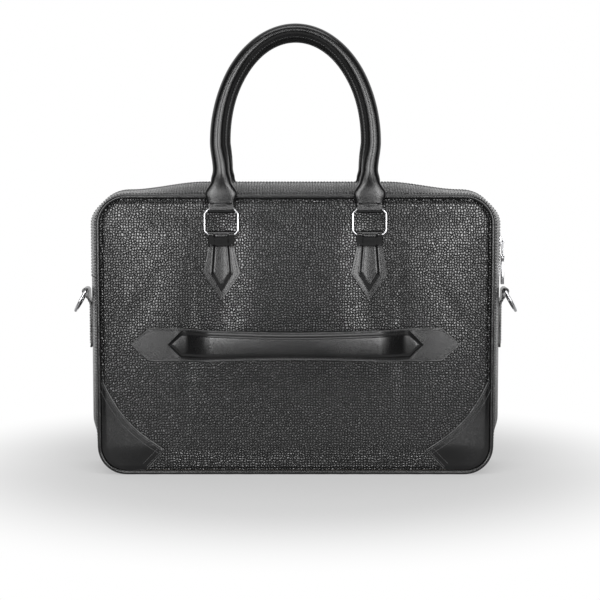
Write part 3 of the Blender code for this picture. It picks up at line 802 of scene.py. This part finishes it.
for run, face, flap, stations, side in zip_runs():
    tape = band(stations, 6, face * TAPE_HALF, face * COIL_INNER, -LEATHER - GAP, TAPE)
    keep_on_band(f"{run}_tape", tape, zip_cloth, flap, side, [solid_of(run, "zip_tape")])
    keep_on_band(f"{run}_coil", coil(stations, face), zip_coil, flap, side)

# %% [markdown]
# ## Handle rings
#
# Four rectangular rings of nickel wire with cut corners carry the handles. The wire is round, so each ring is
# one closed tube.

# %% Rings
RING_CHAMFER = 3.4 * MM


def ring_line(centre_x, y):
    wide = (ring_high.x - ring_low.x) / 2 - RING_WIRE
    high = (RING_HIGH - RING_LOW) / 2
    middle = (RING_HIGH + RING_LOW) / 2
    quarter = [(wide - RING_CHAMFER, high), (wide, high - RING_CHAMFER)]
    half = quarter + [(u, -v) for u, v in quarter[::-1]]
    loop = half + [(-u, v) for u, v in half[::-1]]
    return [Vector((centre_x + u, y, middle + v)) for u, v in loop]


for corner, face, side in CORNERS:
    shape = wire(14, walk(ring_line(side * RING_X, face * RING_Y), 1.1 * MM, True), ACROSS, RING_WIRE)
    keep(f"{corner}_ring_wire", shape, nickel, f"{corner.split('_')[0]}_rings", [f"{corner}_ring"])

# %% [markdown]
# ## Handle tabs
#
# A tab is one strip of leather: sewn flat to the panel at its pointed end, raised along its middle over a
# filler, folded over the ring's lower bar and turned in behind itself. The strip's path is drawn from the
# side, and its width changes along the path.

# %% Tabs
TAB_LENGTH, TAB_SHOULDER, TAB_RISE = 64 * MM, 38 * MM, 12 * MM
TAB_NECK_HALF, TAB_WIDE_HALF, POINT_HALF = 12.2 * MM, 18 * MM, 0.8 * MM
LOOP_RADIUS = RING_WIRE + GAP + LEATHER
RIDGE, TAB_SEAM, TURNED_IN = 2.0 * MM, 2.0 * MM, 0.9
TAB_WIDTHS = [(-TAB_LENGTH, POINT_HALF), (-TAB_SHOULDER, TAB_WIDE_HALF), (-TAB_RISE, TAB_NECK_HALF),
              (LOOP_RADIUS, TAB_NECK_HALF)]
RIDGE_WIDTHS = [(8 * MM - TAB_LENGTH, 0.1 * MM), (-TAB_SHOULDER, 10.5 * MM), (-TAB_RISE, 8.5 * MM),
                (LOOP_RADIUS, 8.5 * MM)]


def folded_path(foot, rise, bar_out, radius, lie, steps):
    """(out, up) points of a strip that lies flat, stands away to a bar, goes over it and back behind."""
    flat = [(lie, z) for z in spread(foot, -rise, steps)]
    swing = [(between(lie, bar_out + radius, smooth(share)), between(-rise, 0, share))
             for share in spread(0, 1, 8)]
    over = [(bar_out + radius * math.cos(a), radius * math.sin(a)) for a in spread(0, math.pi, 12)]
    back = [(bar_out - radius, z) for z in spread(0, -rise * 0.8, 4)]
    return flat + swing[1:] + over[1:] + back[1:]


def path_normals(path):
    """The side of a path that looks away from the bar."""
    normals = []
    for i in range(len(path)):
        (a_out, a_up), (b_out, b_up) = path[max(i - 1, 0)], path[min(i + 1, len(path) - 1)]
        length = math.hypot(b_out - a_out, b_up - a_up)
        normals.append(((b_up - a_up) / length, (a_out - b_out) / length))
    return normals


tab_path = folded_path(-TAB_LENGTH, TAB_RISE, RING_Y - PANEL_Y, LOOP_RADIUS, GAP + LEATHER, 26)
tab_normals = path_normals(tab_path)
tab_rows = len(tab_path) - 1
front_rows = tab_rows - 16


def tab_lift(across, up):
    """The raised middle of the tab, sloping down to the sewn border."""
    half = reading(up, RIDGE_WIDTHS, held)
    return RIDGE * smooth((half - abs(across)) / (3.4 * MM)) * smooth((up + TAB_LENGTH) / (16 * MM))


def tab_surface(centre_x, face, across, step, depth):
    out, up = tab_path[step]
    normal_out, normal_up = tab_normals[step]
    x = centre_x + across
    lying = smooth(-up / TAB_RISE) if step <= front_rows else 0
    inward = depth * LEATHER * between(1, 0.9, lying)
    raised = 0 if depth or step > front_rows else tab_lift(across, up) * smooth((4 * MM - up) / (6 * MM))
    out += panel_swell(x, RING_LOW + up, face) * lying + (raised - inward) * normal_out
    return Vector((x, face * (PANEL_Y + out), RING_LOW + up + (raised - inward) * normal_up))


def tab_half(step):
    return reading(tab_path[step][1], TAB_WIDTHS, held)


def tab_place(centre_x, face, u, v, depth):
    step = round(v * tab_rows)
    turned_in = TURNED_IN if step > front_rows + 8 else 1
    return tab_surface(centre_x, face, (2 * u - 1) * tab_half(step) * turned_in, step, depth)


for corner, face, side in CORNERS:
    centre_x = side * RING_X
    shape = soften(slab(30, tab_rows, partial(tab_place, centre_x, face)), 0.6 * MM)
    keep(f"{corner}_tab_leather", shape, smooth_leather, "case", [f"{corner}_handle_tab"])
    line = [(tab_half(step) - TAB_SEAM, step) for step in range(front_rows - 6) if tab_half(step) > TAB_SEAM]
    route = [(-half, step) for half, step in line[::-1]] + line
    points = [tab_surface(centre_x, face, half, step, 0) for half, step in route]
    keep_rows(f"{corner}_tab_stitches", [points], 2.7 * MM, (0, face, 0))

# %% [markdown]
# ## Rolled handles
#
# A rolled handle is a strip of leather sewn round a soft cord, with the seam on the inside of the arch. At
# each end it opens out, flattens and folds round the ring. One tube does it all: its width and depth are read
# from its height, its section turns from round to flat, and a ridge along the inside stands for the seam.
# Where it leans on the piping it is pressed flatter.

# %% Handle
roll_low, roll_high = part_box("rear_handle_roll")
ROLL_RADIUS = roll_high.y + RING_Y
ARCH_HALF = roll_high.x - ROLL_RADIUS
ROLL_FOOT = roll_low.z
ARCH_BASE = ROLL_FOOT + 27 * MM
ARCH_RISE = roll_high.z - ROLL_RADIUS - ARCH_BASE
HANDLE_END = RING_HIGH + 1.0 * MM
SEAM_RIDGE = 2.0 * MM
PRESSED = 0.45
HANDLE_HALF = [(HANDLE_END, 11.6 * MM), (RING_HIGH + 4 * MM, 13.0 * MM), (RING_HIGH + 16 * MM, 15.6 * MM),
               (RING_HIGH + 28 * MM, 9.9 * MM), (ROLL_FOOT, 8.0 * MM), (ARCH_BASE, 7.2 * MM),
               (ARCH_BASE + 60 * MM, 6.6 * MM), (roll_high.z, 5.8 * MM)]
HANDLE_DEPTH = [(HANDLE_END, 2.9 * MM), (RING_HIGH + 4 * MM, 3.4 * MM), (RING_HIGH + 17 * MM, 4.0 * MM),
                (ROLL_FOOT, 6.2 * MM), (ARCH_BASE, 6.4 * MM), (roll_high.z, 6.0 * MM)]


def handle_line(face):
    """Up the left leg, over the arch and down the right one."""
    leg = [(-between(RING_X, ARCH_HALF, smooth((z - ROLL_FOOT) / (ARCH_BASE - ROLL_FOOT))), z)
           for z in spread(HANDLE_END, ARCH_BASE, 34)]
    arch = [(-ARCH_HALF * math.cos(a), ARCH_BASE + ARCH_RISE * math.sin(a)) for a in spread(0, math.pi, 80)]
    route = leg + arch[1:-1] + [(-x, z) for x, z in leg[::-1]]
    return [Vector((x, face * RING_Y, z)) for x, z in route]


def handle_section(spot, out, turn):
    """One point of the handle's skin: turn 0 is the outside of the arch and pi is the seam."""
    half, depth = reading(spot.z, HANDLE_HALF), reading(spot.z, HANDLE_DEPTH)
    flat = between(0.55, 1, smooth((spot.z - RING_HIGH - 12 * MM) / (24 * MM)))
    in_plane = math.copysign(abs(math.cos(turn)) ** flat, math.cos(turn)) * half
    in_plane -= SEAM_RIDGE * smooth((spot.z - ROLL_FOOT) / (22 * MM)) * bell(turn - math.pi, 0.34)
    through = math.copysign(abs(math.sin(turn)) ** flat, math.sin(turn)) * depth
    if through * spot.y < 0:
        through *= 1 - PRESSED * bell(spot.z - CASE_HEIGHT, 16 * MM)
    return spot + out * in_plane + ACROSS * through


def outward(direction):
    """Away from the middle of the arch, square to the way along it."""
    return ACROSS.cross(direction).normalized() * -1


def handle_shape(face):
    marks = walk(handle_line(face), 2.2 * MM)
    rows = len(marks) - 1

    def place(u, v):
        spot, direction = marks[round(v * rows)]
        return handle_section(spot, outward(direction), 2 * math.pi * u)

    return tube(36, rows, place)


def handle_stitches(face):
    shape = bmesh.new()
    marks = [mark for mark in walk(handle_line(face), 3.0 * MM) if mark[0].z > ROLL_FOOT + 8 * MM]
    for spot, direction in marks:
        out = outward(direction)
        for turn in (math.pi - 0.27, math.pi + 0.27):
            seam = handle_section(spot, out, turn)
            sew(shape, [(seam, direction)], lambda _, n=seam - spot: n, 0.25)
    return shape


def end_loop(centre_x, face):
    """The handle's leather where it goes under the ring's upper bar."""
    straight_up = 7 * MM
    path = [(LOOP_RADIUS, z) for z in spread(straight_up, 0, 5)]
    path += [(LOOP_RADIUS * math.cos(a), LOOP_RADIUS * math.sin(a)) for a in spread(0, -math.pi, 14)][1:]
    path += [(-LOOP_RADIUS, z) for z in spread(0, straight_up, 5)][1:]
    rows = len(path) - 1

    def place(u, v, depth):
        out, up = path[round(v * rows)]
        length = math.hypot(out, min(up, 0))
        inner = 1 - depth * (LEATHER / length)
        lift = up * inner if up < 0 else up
        return centre_x + (2 * u - 1) * 12.2 * MM, face * RING_Y + out * inner, RING_HIGH + lift

    return slab(14, rows, place)


for word, face in FACES.items():
    body = f"{word}_handle"
    ends = [f"{word}_{side_word}_handle_end" for side_word in SIDES]
    keep(f"{word}_handle_leather", handle_shape(face), smooth_leather, body, [f"{word}_handle_roll", *ends])
    keep(f"{word}_handle_stitches", handle_stitches(face), thread, body)
    for side_word, side in SIDES.items():
        shape = soften(end_loop(side * RING_X, face), 0.4 * MM)
        keep(f"{word}_{side_word}_handle_loop", shape, smooth_leather, body)

# %% [markdown]
# ## Luggage strap
#
# A strap with arrow-shaped ends is sewn across the rear. Between the sewn ends it stands away from the panel,
# which leaves a slot behind it. A padded strip with sloping sides is sewn along its middle. The strap is stiff
# enough to keep its bow, so it is laid directly and not simulated.

# %% Strap and pad
strap_low, strap_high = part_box("luggage_strap")
pad_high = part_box("luggage_strap_pad")[1]
STRAP_Z = (strap_low.z + strap_high.z) / 2
STRAP_LENGTH_HALF = strap_high.x
STRAP_SHOULDER = STRAP_LENGTH_HALF - 18 * MM
STRAP_END_HALF = (strap_high.z - strap_low.z) / 2
STRAP_MIDDLE_HALF = STRAP_END_HALF - 3 * MM
STRAP_THICKNESS = 2.2 * MM
STRAP_BOW = 1.5 * MM
STRAP_STANDOFF = -strap_low.y - PANEL_Y - GAP - STRAP_THICKNESS - STRAP_BOW
STRAP_FIXED, STRAP_RISEN = 117 * MM, 80 * MM
PAD_LENGTH_HALF = pad_high.x
PAD_SHOULDER = PAD_LENGTH_HALF - 14 * MM
PAD_MARGIN, PAD_SLOPE = 1.8 * MM, 4.2 * MM
PAD_RISE = 3.8 * MM
STRAP_SEAM, EDGE_SUNK = 1.3 * MM, 0.3 * MM


def strip_half(x, tip_x, shoulder, margin, least):
    """Half the width of the strap or its pad, which widens to its shoulders and ends in a point."""
    waist = between(STRAP_MIDDLE_HALF, STRAP_END_HALF, smooth(abs(x) / STRAP_SHOULDER))
    return (waist - margin) * min(max((tip_x - abs(x)) / (tip_x - shoulder), least), 1)


def strap_half(x):
    return strip_half(x, STRAP_LENGTH_HALF, STRAP_SHOULDER, 0, 0.05)


def strap_face(x, z):
    """The strap's outer side, as a distance from the middle of the case."""
    risen = smooth((STRAP_FIXED - abs(x)) / (STRAP_FIXED - STRAP_RISEN))
    standoff = STRAP_STANDOFF * risen + STRAP_BOW * max(1 - (x / STRAP_RISEN) ** 2, 0)
    return PANEL_Y + GAP + STRAP_THICKNESS + standoff + panel_swell(x, z, -1) * (1 - risen)


def along_strip(half_length, shoulder, steps):
    """Places along a pointed strip, with a row on each shoulder."""
    tip = spread(half_length, shoulder, 6)
    right = tip + spread(shoulder, 0, steps)[1:]
    return [-x for x in right] + right[-2::-1]


strap_rows = along_strip(STRAP_LENGTH_HALF, STRAP_SHOULDER, 60)
pad_rows = along_strip(PAD_LENGTH_HALF, PAD_SHOULDER, 60)


def strap_place(u, v, depth):
    x = strap_rows[round(u * (len(strap_rows) - 1))]
    z = STRAP_Z + (2 * v - 1) * strap_half(x)
    return x, -(strap_face(x, z) - depth * STRAP_THICKNESS), z


def pad_place(u, v, depth):
    x = pad_rows[round(u * (len(pad_rows) - 1))]
    half = strip_half(x, PAD_LENGTH_HALF, PAD_SHOULDER, PAD_MARGIN, 0.02)
    z = (2 * v - 1) * half
    tip = smooth((PAD_LENGTH_HALF - abs(x)) / (20 * MM))
    crown = smooth((half - abs(z)) / PAD_SLOPE) * (0.86 + 0.14 * math.cos(z / STRAP_MIDDLE_HALF * 1.4))
    lift = 0.25 * MM + PAD_RISE * crown * between(0.75, 1, tip)
    return x, -(strap_face(x, STRAP_Z) + (lift if not depth else 0.05 * MM)), STRAP_Z + z


def strap_point(x, side, inset, sunk):
    """A point near the strap's upper (1) or lower (-1) edge."""
    z = STRAP_Z + side * (strap_half(x) - inset)
    return Vector((x, sunk - strap_face(x, z), z))


shape = soften(slab(len(strap_rows) - 1, 18, strap_place), 0.6 * MM)
keep("luggage_strap_leather", shape, smooth_leather, "case", ["luggage_strap"])
rows = [[strap_point(x, side, STRAP_SEAM, 0) for x in strap_rows[2:-2]] for side in (-1, 1)]
keep_rows("luggage_strap_stitches", rows, 2.8 * MM, (0, -1, 0), (-0.32, 0.32))
rim = [strap_point(x, side, EDGE_SUNK, EDGE_SUNK) for side in (1, -1) for x in strap_rows[1:-1][::side]]
painted_edge("luggage_strap_edge", rim, True)
pad = keep("luggage_strap_padding", slab(len(pad_rows) - 1, 22, pad_place), smooth_leather, "case",
           ["luggage_strap_pad"])

# %% [markdown]
# ## Corner patches
#
# The four lower corners wear first, so a patch of smooth leather is sewn over each, with two rows of
# stitches along its curved edge. The patch is a sheet stretched between two lines: the sewn edge and the
# corner of the panel.

# %% Patches
patch_low, patch_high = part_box("rear_right_corner_patch")
PATCH = 1.2 * MM
PATCH_SAG = 8 * MM
PATCH_FOOT_X = HALF_WIDTH - 47 * MM
PATCH_POINT = Vector((patch_low.x, 25.5 * MM))
PATCH_HEAD = Vector((patch_high.x, patch_high.z))
BACK_EDGE = 0.25


def patch_edge(share):
    """The sewn edge: up the short back edge to the point, then along the slant."""
    foot = Vector((PATCH_FOOT_X, PANEL_FOOT))
    if share <= BACK_EDGE:
        return foot.lerp(PATCH_POINT, share / BACK_EDGE)
    along = (share - BACK_EDGE) / (1 - BACK_EDGE)
    across = (PATCH_HEAD - PATCH_POINT).normalized()
    inward = Vector((across.y, -across.x))
    return PATCH_POINT.lerp(PATCH_HEAD, along) + inward * PATCH_SAG * math.sin(math.pi * along)


corner_line = [Vector((x, 0, z)) for x, z in rounded_outline(PANEL_INSET) if x > PATCH_FOOT_X and z < PATCH_HEAD.y]
corner_line = [Vector((PATCH_HEAD.x, 0, PATCH_HEAD.y))] + corner_line + [Vector((PATCH_FOOT_X, 0, PANEL_FOOT))]
corner_marks = [spot for spot, _ in walk(corner_line, 1.5 * MM)][::-1]


def patch_surface(x, z, side, face, depth):
    return Vector((side * x, face * (PANEL_Y + panel_swell(side * x, z, face) + 0.15 * MM + PATCH * (1 - depth)), z))


def patch_place(side, face, u, v, depth):
    outer = corner_marks[round(v * (len(corner_marks) - 1))]
    point = patch_edge(v).lerp(outer.xz, u)
    return patch_surface(*point, side, face, depth)


def patch_row(side, face, inset):
    """Points along the sewn edge, a little way in from it."""
    for share in spread(0.04, 0.97, 60):
        here = patch_edge(share)
        way = (patch_edge(share + 0.01) - here).normalized()
        yield patch_surface(*(here + Vector((way.y, -way.x)) * inset), side, face, 0)


for corner, face, side in CORNERS:
    shape = soften(slab(20, 64, partial(patch_place, side, face)), 0.5 * MM)
    keep(f"{corner}_patch_leather", shape, smooth_leather, "case", [f"{corner}_corner_patch"])
    rows = [list(patch_row(side, face, inset)) for inset in (1.6 * MM, 6.0 * MM)]
    keep_rows(f"{corner}_patch_stitches", rows, 2.4 * MM, (0, face, 0))
    rim = [patch_surface(*patch_edge(share), side, face, 0.3) for share in spread(0.02, 0.98, 80)]
    painted_edge(f"{corner}_patch_edge", rim)

# %% [markdown]
# ## Side tabs and their rings
#
# A short strap folded round a half-round ring sits on each side, for a shoulder strap. It is the same folded
# strip as the handle tabs, turned to face sideways. The ring is one bent wire with a straight bar.

# %% Side tabs and half-round rings
side_low, side_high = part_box("right_side_tab")
d_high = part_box("right_d_ring")[1]
SIDE_FACE = HALF_WIDTH + SIDE_BULGE
SIDE_HALF = side_high.y
SIDE_WIRE = 1.5 * MM
SIDE_LOOP = SIDE_WIRE + GAP + LEATHER
SIDE_BAR_OUT = 6 * MM
SIDE_BAR_Z = side_high.z - SIDE_LOOP
SIDE_FOOT = side_low.z - SIDE_BAR_Z
SIDE_RISE, SIDE_SEAM = 13 * MM, 1.8 * MM
SIDE_RING_HALF = d_high.y - SIDE_WIRE
SIDE_RING_STRAIGHT = 10.5 * MM
SIDE_LEAN = math.radians(29)

side_path = folded_path(SIDE_FOOT, SIDE_RISE, SIDE_BAR_OUT, SIDE_LOOP, GAP + LEATHER, 18)
side_normals = path_normals(side_path)
side_rows = len(side_path) - 1


def side_surface(side, y, step, depth):
    out, up = side_path[step]
    normal_out, normal_up = side_normals[step]
    lying = smooth(-up / SIDE_RISE)
    out += -SIDE_BULGE * (y / BAND_HALF) ** 2 * lying - depth * LEATHER * 0.95 * normal_out
    return Vector((side * (SIDE_FACE + out), y, SIDE_BAR_Z + up - depth * LEATHER * normal_up))


def side_place(side, u, v, depth):
    step = round(v * side_rows)
    turned_in = TURNED_IN if step > side_rows - 8 else 1
    return side_surface(side, (2 * u - 1) * SIDE_HALF * turned_in, step, depth)


def d_ring_line(side):
    bar_x = side * (SIDE_FACE + SIDE_BAR_OUT)
    bow = [(SIDE_RING_STRAIGHT + SIDE_RING_HALF * math.sin(a), SIDE_RING_HALF * math.cos(a))
           for a in spread(0, math.pi, 24)]
    loop = [(0, -SIDE_RING_HALF), (0, SIDE_RING_HALF)] + bow
    return [Vector((bar_x + side * down * math.sin(SIDE_LEAN), y, SIDE_BAR_Z - down * math.cos(SIDE_LEAN)))
            for down, y in loop]


for side_word, side in SIDES.items():
    shape = soften(slab(14, side_rows, partial(side_place, side)), 0.6 * MM)
    keep(f"{side_word}_side_tab_leather", shape, smooth_leather, "case", [f"{side_word}_side_tab"])
    seam = SIDE_HALF - SIDE_SEAM
    route = [(-seam, step) for step in range(18, 1, -1)] + [(seam, step) for step in range(2, 19)]
    points = [side_surface(side, y, step, 0) for y, step in route]
    keep_rows(f"{side_word}_side_tab_stitches", [points], 2.7 * MM, (side, 0, 0))
    flat = Vector((math.cos(SIDE_LEAN), 0, side * math.sin(SIDE_LEAN)))
    shape = wire(14, walk(d_ring_line(side), 1.2 * MM, True), flat, SIDE_WIRE)
    keep(f"{side_word}_d_ring_wire", shape, nickel, f"{side_word}_d_ring", [f"{side_word}_d_ring"])

# %% [markdown]
# ## Slider, link and pull
#
# The slider and the pull are small castings whose solids already have the right shape. A copy of each mesh
# with its doubles merged and its edges rounded keeps that shape and lets the edges shine. The link is bent wire.

# %% Softened castings
def casting(node, width):
    shape = bmesh.new()
    shape.from_mesh(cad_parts[node].data)
    bmesh.ops.remove_doubles(shape, verts=shape.verts, dist=WELD)
    bmesh.ops.dissolve_limit(shape, angle_limit=math.radians(2), verts=shape.verts, edges=shape.edges)
    keep(f"{node}_casting", soften(shape, width, math.radians(35)), nickel, node, [node])


casting("zip_slider", 0.2 * MM)
casting("zip_pull", 0.5 * MM)
LINK_CORNERS = [(1, 0.85), (0.75, 1), (-0.75, 1), (-1, 0.85), (-1, -0.85), (-0.75, -1), (0.75, -1), (1, -0.85)]
link_low, link_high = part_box("zip_link")
link_middle, link_reach = (link_low + link_high) / 2, (link_high - link_low) / 2
LINK_WIRE = link_reach.x
line = [link_middle + Vector((0, a * (link_reach.y - LINK_WIRE), b * (link_reach.z - LINK_WIRE)))
        for a, b in LINK_CORNERS]
shape = wire(12, walk(line, 0.6 * MM, True), Vector((1, 0, 0)), LINK_WIRE)
keep("zip_link_wire", shape, nickel, "zip_link", ["zip_link"])

# %% [markdown]
# ## Lining, boards and cords
#
# Inside, woven cloth is stretched over the boards. The two faces and the gusset are lined with separate
# sheets. The boards and the cords in the handles keep their solids, which are flat plates and plain rods in
# life too, and get their own finish.

# %% Lining and hidden parts
LINING = 0.8 * MM


def lining_place(low, high, face, u, v, depth):
    z = between(low.z, high.z, crowded(v))
    x = edge_half(z, HALF_WIDTH - high.x) * math.sin(math.pi * (u - 0.5))
    ripple = 0.25 * MM * math.sin(x * 92 + 3 * math.sin(z * 31)) * math.sin(z * 57)
    inner = abs(low.y if face > 0 else high.y)
    return x, face * (inner + ripple * (1 - smooth((abs(u - 0.5) - 0.4) / 0.1)) + depth * LINING), z


for word, face in FACES.items():
    low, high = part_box(f"{word}_lining")
    shape = slab(60, 48, partial(lining_place, low, high, face))
    lining = keep(f"{word}_lining_cloth", shape, lining_cloth, "case", [f"{word}_lining"])

low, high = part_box("gusset_lining")
stations = base_stations(HALF_WIDTH - high.x, high.z, 0)
shape = band(stations, 16, low.y, high.y, 0, LINING)
lining = keep("gusset_lining_cloth", shape, lining_cloth, "case", ["gusset_lining"])
run = sum((Vector(a[:2]) - Vector(b[:2])).length for a, b in zip(stations, stations[1:]))

for name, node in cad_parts.items():
    hidden = {"board": board_fibre, "core": cord_felt}.get(name.split("_")[-1])
    if hidden:
        node.data.materials.clear()
        node.data.materials.append(hidden)
print("lining run", round(run, 3))

# %% [markdown]
# ## Floor, light and camera
#
# The bag stands on a plain pale floor against white. Black leather is shown by what it reflects, and an even
# white room would turn it grey. So the sky is white behind the bag and dark in front of it, and two soft lamps
# stand beside the camera, where swelling leather mirrors them and dents don't, with a weaker pair further out.
# A wide lamp overhead gives the shadow. Together they light a grey card on the panel as grey as it is painted.
# The floor ends just below the picture, because more of it would be mirrored in the panel.

# %% Stage
def make_floor():
    shape = bmesh.new()
    centre = Matrix.Translation((0, 0.2, 0))
    bmesh.ops.create_circle(shape, cap_ends=True, segments=96, radius=0.64, matrix=centre)
    mesh = bpy.data.meshes.new("floor")
    shape.to_mesh(mesh)
    shape.free()
    floor = bpy.data.objects.new("floor", mesh)
    bpy.context.scene.collection.objects.link(floor)
    material, shader, place = finish_of("floor_paint", {"Base Color": (0.62, 0.62, 0.62, 1), "Roughness": 0.9,
                                                        "Specular IOR Level": 0.1})
    tree = material.node_tree
    white = place.node("ShaderNodeEmission", {}, {"Color": (1, 1, 1, 1), "Strength": 1.0})
    away = place.node("ShaderNodeVectorMath", {"operation": "LENGTH"}, {0: place}, "Value")
    fade = 0.4 + 0.6 * away.rise(0.2, 0.44)
    whitened = camera_ray(tree) + (1 - camera_ray(tree)) * seen_directly(tree) * place.part("Y").rise(0.2, 0.8)
    show(place.node("ShaderNodeMixShader", {}, {0: whitened * fade, 1: Signal(shader.outputs[0]), 2: white}))
    mesh.materials.append(material)


def camera_ray(tree):
    return Signal(tree.nodes.new("ShaderNodeLightPath").outputs["Is Camera Ray"])


def seen_directly(tree):
    """1 for what the camera sees straight, in a reflection or through glass, and 0 for light on its way."""
    path = tree.nodes.new("ShaderNodeLightPath").outputs
    rays = [Signal(path[f"Is {kind} Ray"]) for kind in ("Camera", "Glossy", "Transmission")]
    return (rays[0] + rays[1] + rays[2]).held()


def make_sky():
    world = bpy.data.worlds.new("studio_sky")
    bpy.context.scene.world = world
    world.use_nodes = True
    tree = world.node_tree
    back = tree.nodes["Background"]
    back.inputs["Color"].default_value = (1, 1, 1, 1)
    way = Signal(tree.nodes.new("ShaderNodeTexCoord").outputs["Generated"])
    behind = way.part("Y").rise(-0.3, 0.45)
    above = way.part("Z").rise(0.35, 1.0) * 0.12
    backdrop = FRONT_DARK + (1 - FRONT_DARK) * way.maths("MAXIMUM", behind, above)
    lit = backdrop * (SKY_LIGHT + (1 - SKY_LIGHT) * seen_directly(tree))
    strength = way.maths("MAXIMUM", camera_ray(tree), lit)
    tree.links.new(strength.socket, back.inputs["Strength"])


def soft_lamp(name, place, size, power):
    data = bpy.data.lights.new(name, "AREA")
    data.shape = "RECTANGLE"
    data.size, data.size_y = size
    data.energy = power
    lamp = bpy.data.objects.new(name, data)
    lamp.visible_camera = False
    lamp.location = place
    lamp.rotation_euler = (MIDDLE - lamp.location).to_track_quat("-Z", "Y").to_euler()
    bpy.context.scene.collection.objects.link(lamp)


MIDDLE = Vector((0, 0, 0.2))
SKY_LIGHT = 0.8
FRONT_DARK = 0.03
make_floor()
make_sky()
soft_lamp("top_lamp", (0, -0.65, 1.35), (1.2, 0.5), 6.5)
soft_lamp("left_lamp", (-0.38, -1.45, 0.30), (0.36, 0.56), 6)
soft_lamp("right_lamp", (0.40, -1.45, 0.28), (0.36, 0.52), 6)
for side_word, side in SIDES.items():
    soft_lamp(f"{side_word}_edge_lamp", (side * 0.85, -1.28, 0.28), (0.45, 0.5), 2.6)
print("lamps", len(bpy.data.lights))

# %% [markdown]
# The camera looks at the rear, a little from above, from far enough away that the sides hardly show. Its
# distance and lens come from how much smaller the far handle looks than the near one.

# %% Camera
LENS, SENSOR = 104.4, 36.0
DISTANCE = 1.7
TILT = math.radians(5.5)
AIM = Vector((4.4 * MM, -PANEL_Y, 173 * MM))

data = bpy.data.cameras.new("camera")
data.lens, data.sensor_width = LENS, SENSOR
camera = bpy.data.objects.new("camera", data)
camera.location = AIM + Vector((0, -math.cos(TILT), math.sin(TILT))) * DISTANCE
camera.rotation_euler = (AIM - camera.location).to_track_quat("-Z", "Y").to_euler()
bpy.context.scene.collection.objects.link(camera)
bpy.context.scene.camera = camera
bpy.context.scene.view_settings.view_transform = "Standard"
print("camera at", [round(value, 3) for value in camera.location])
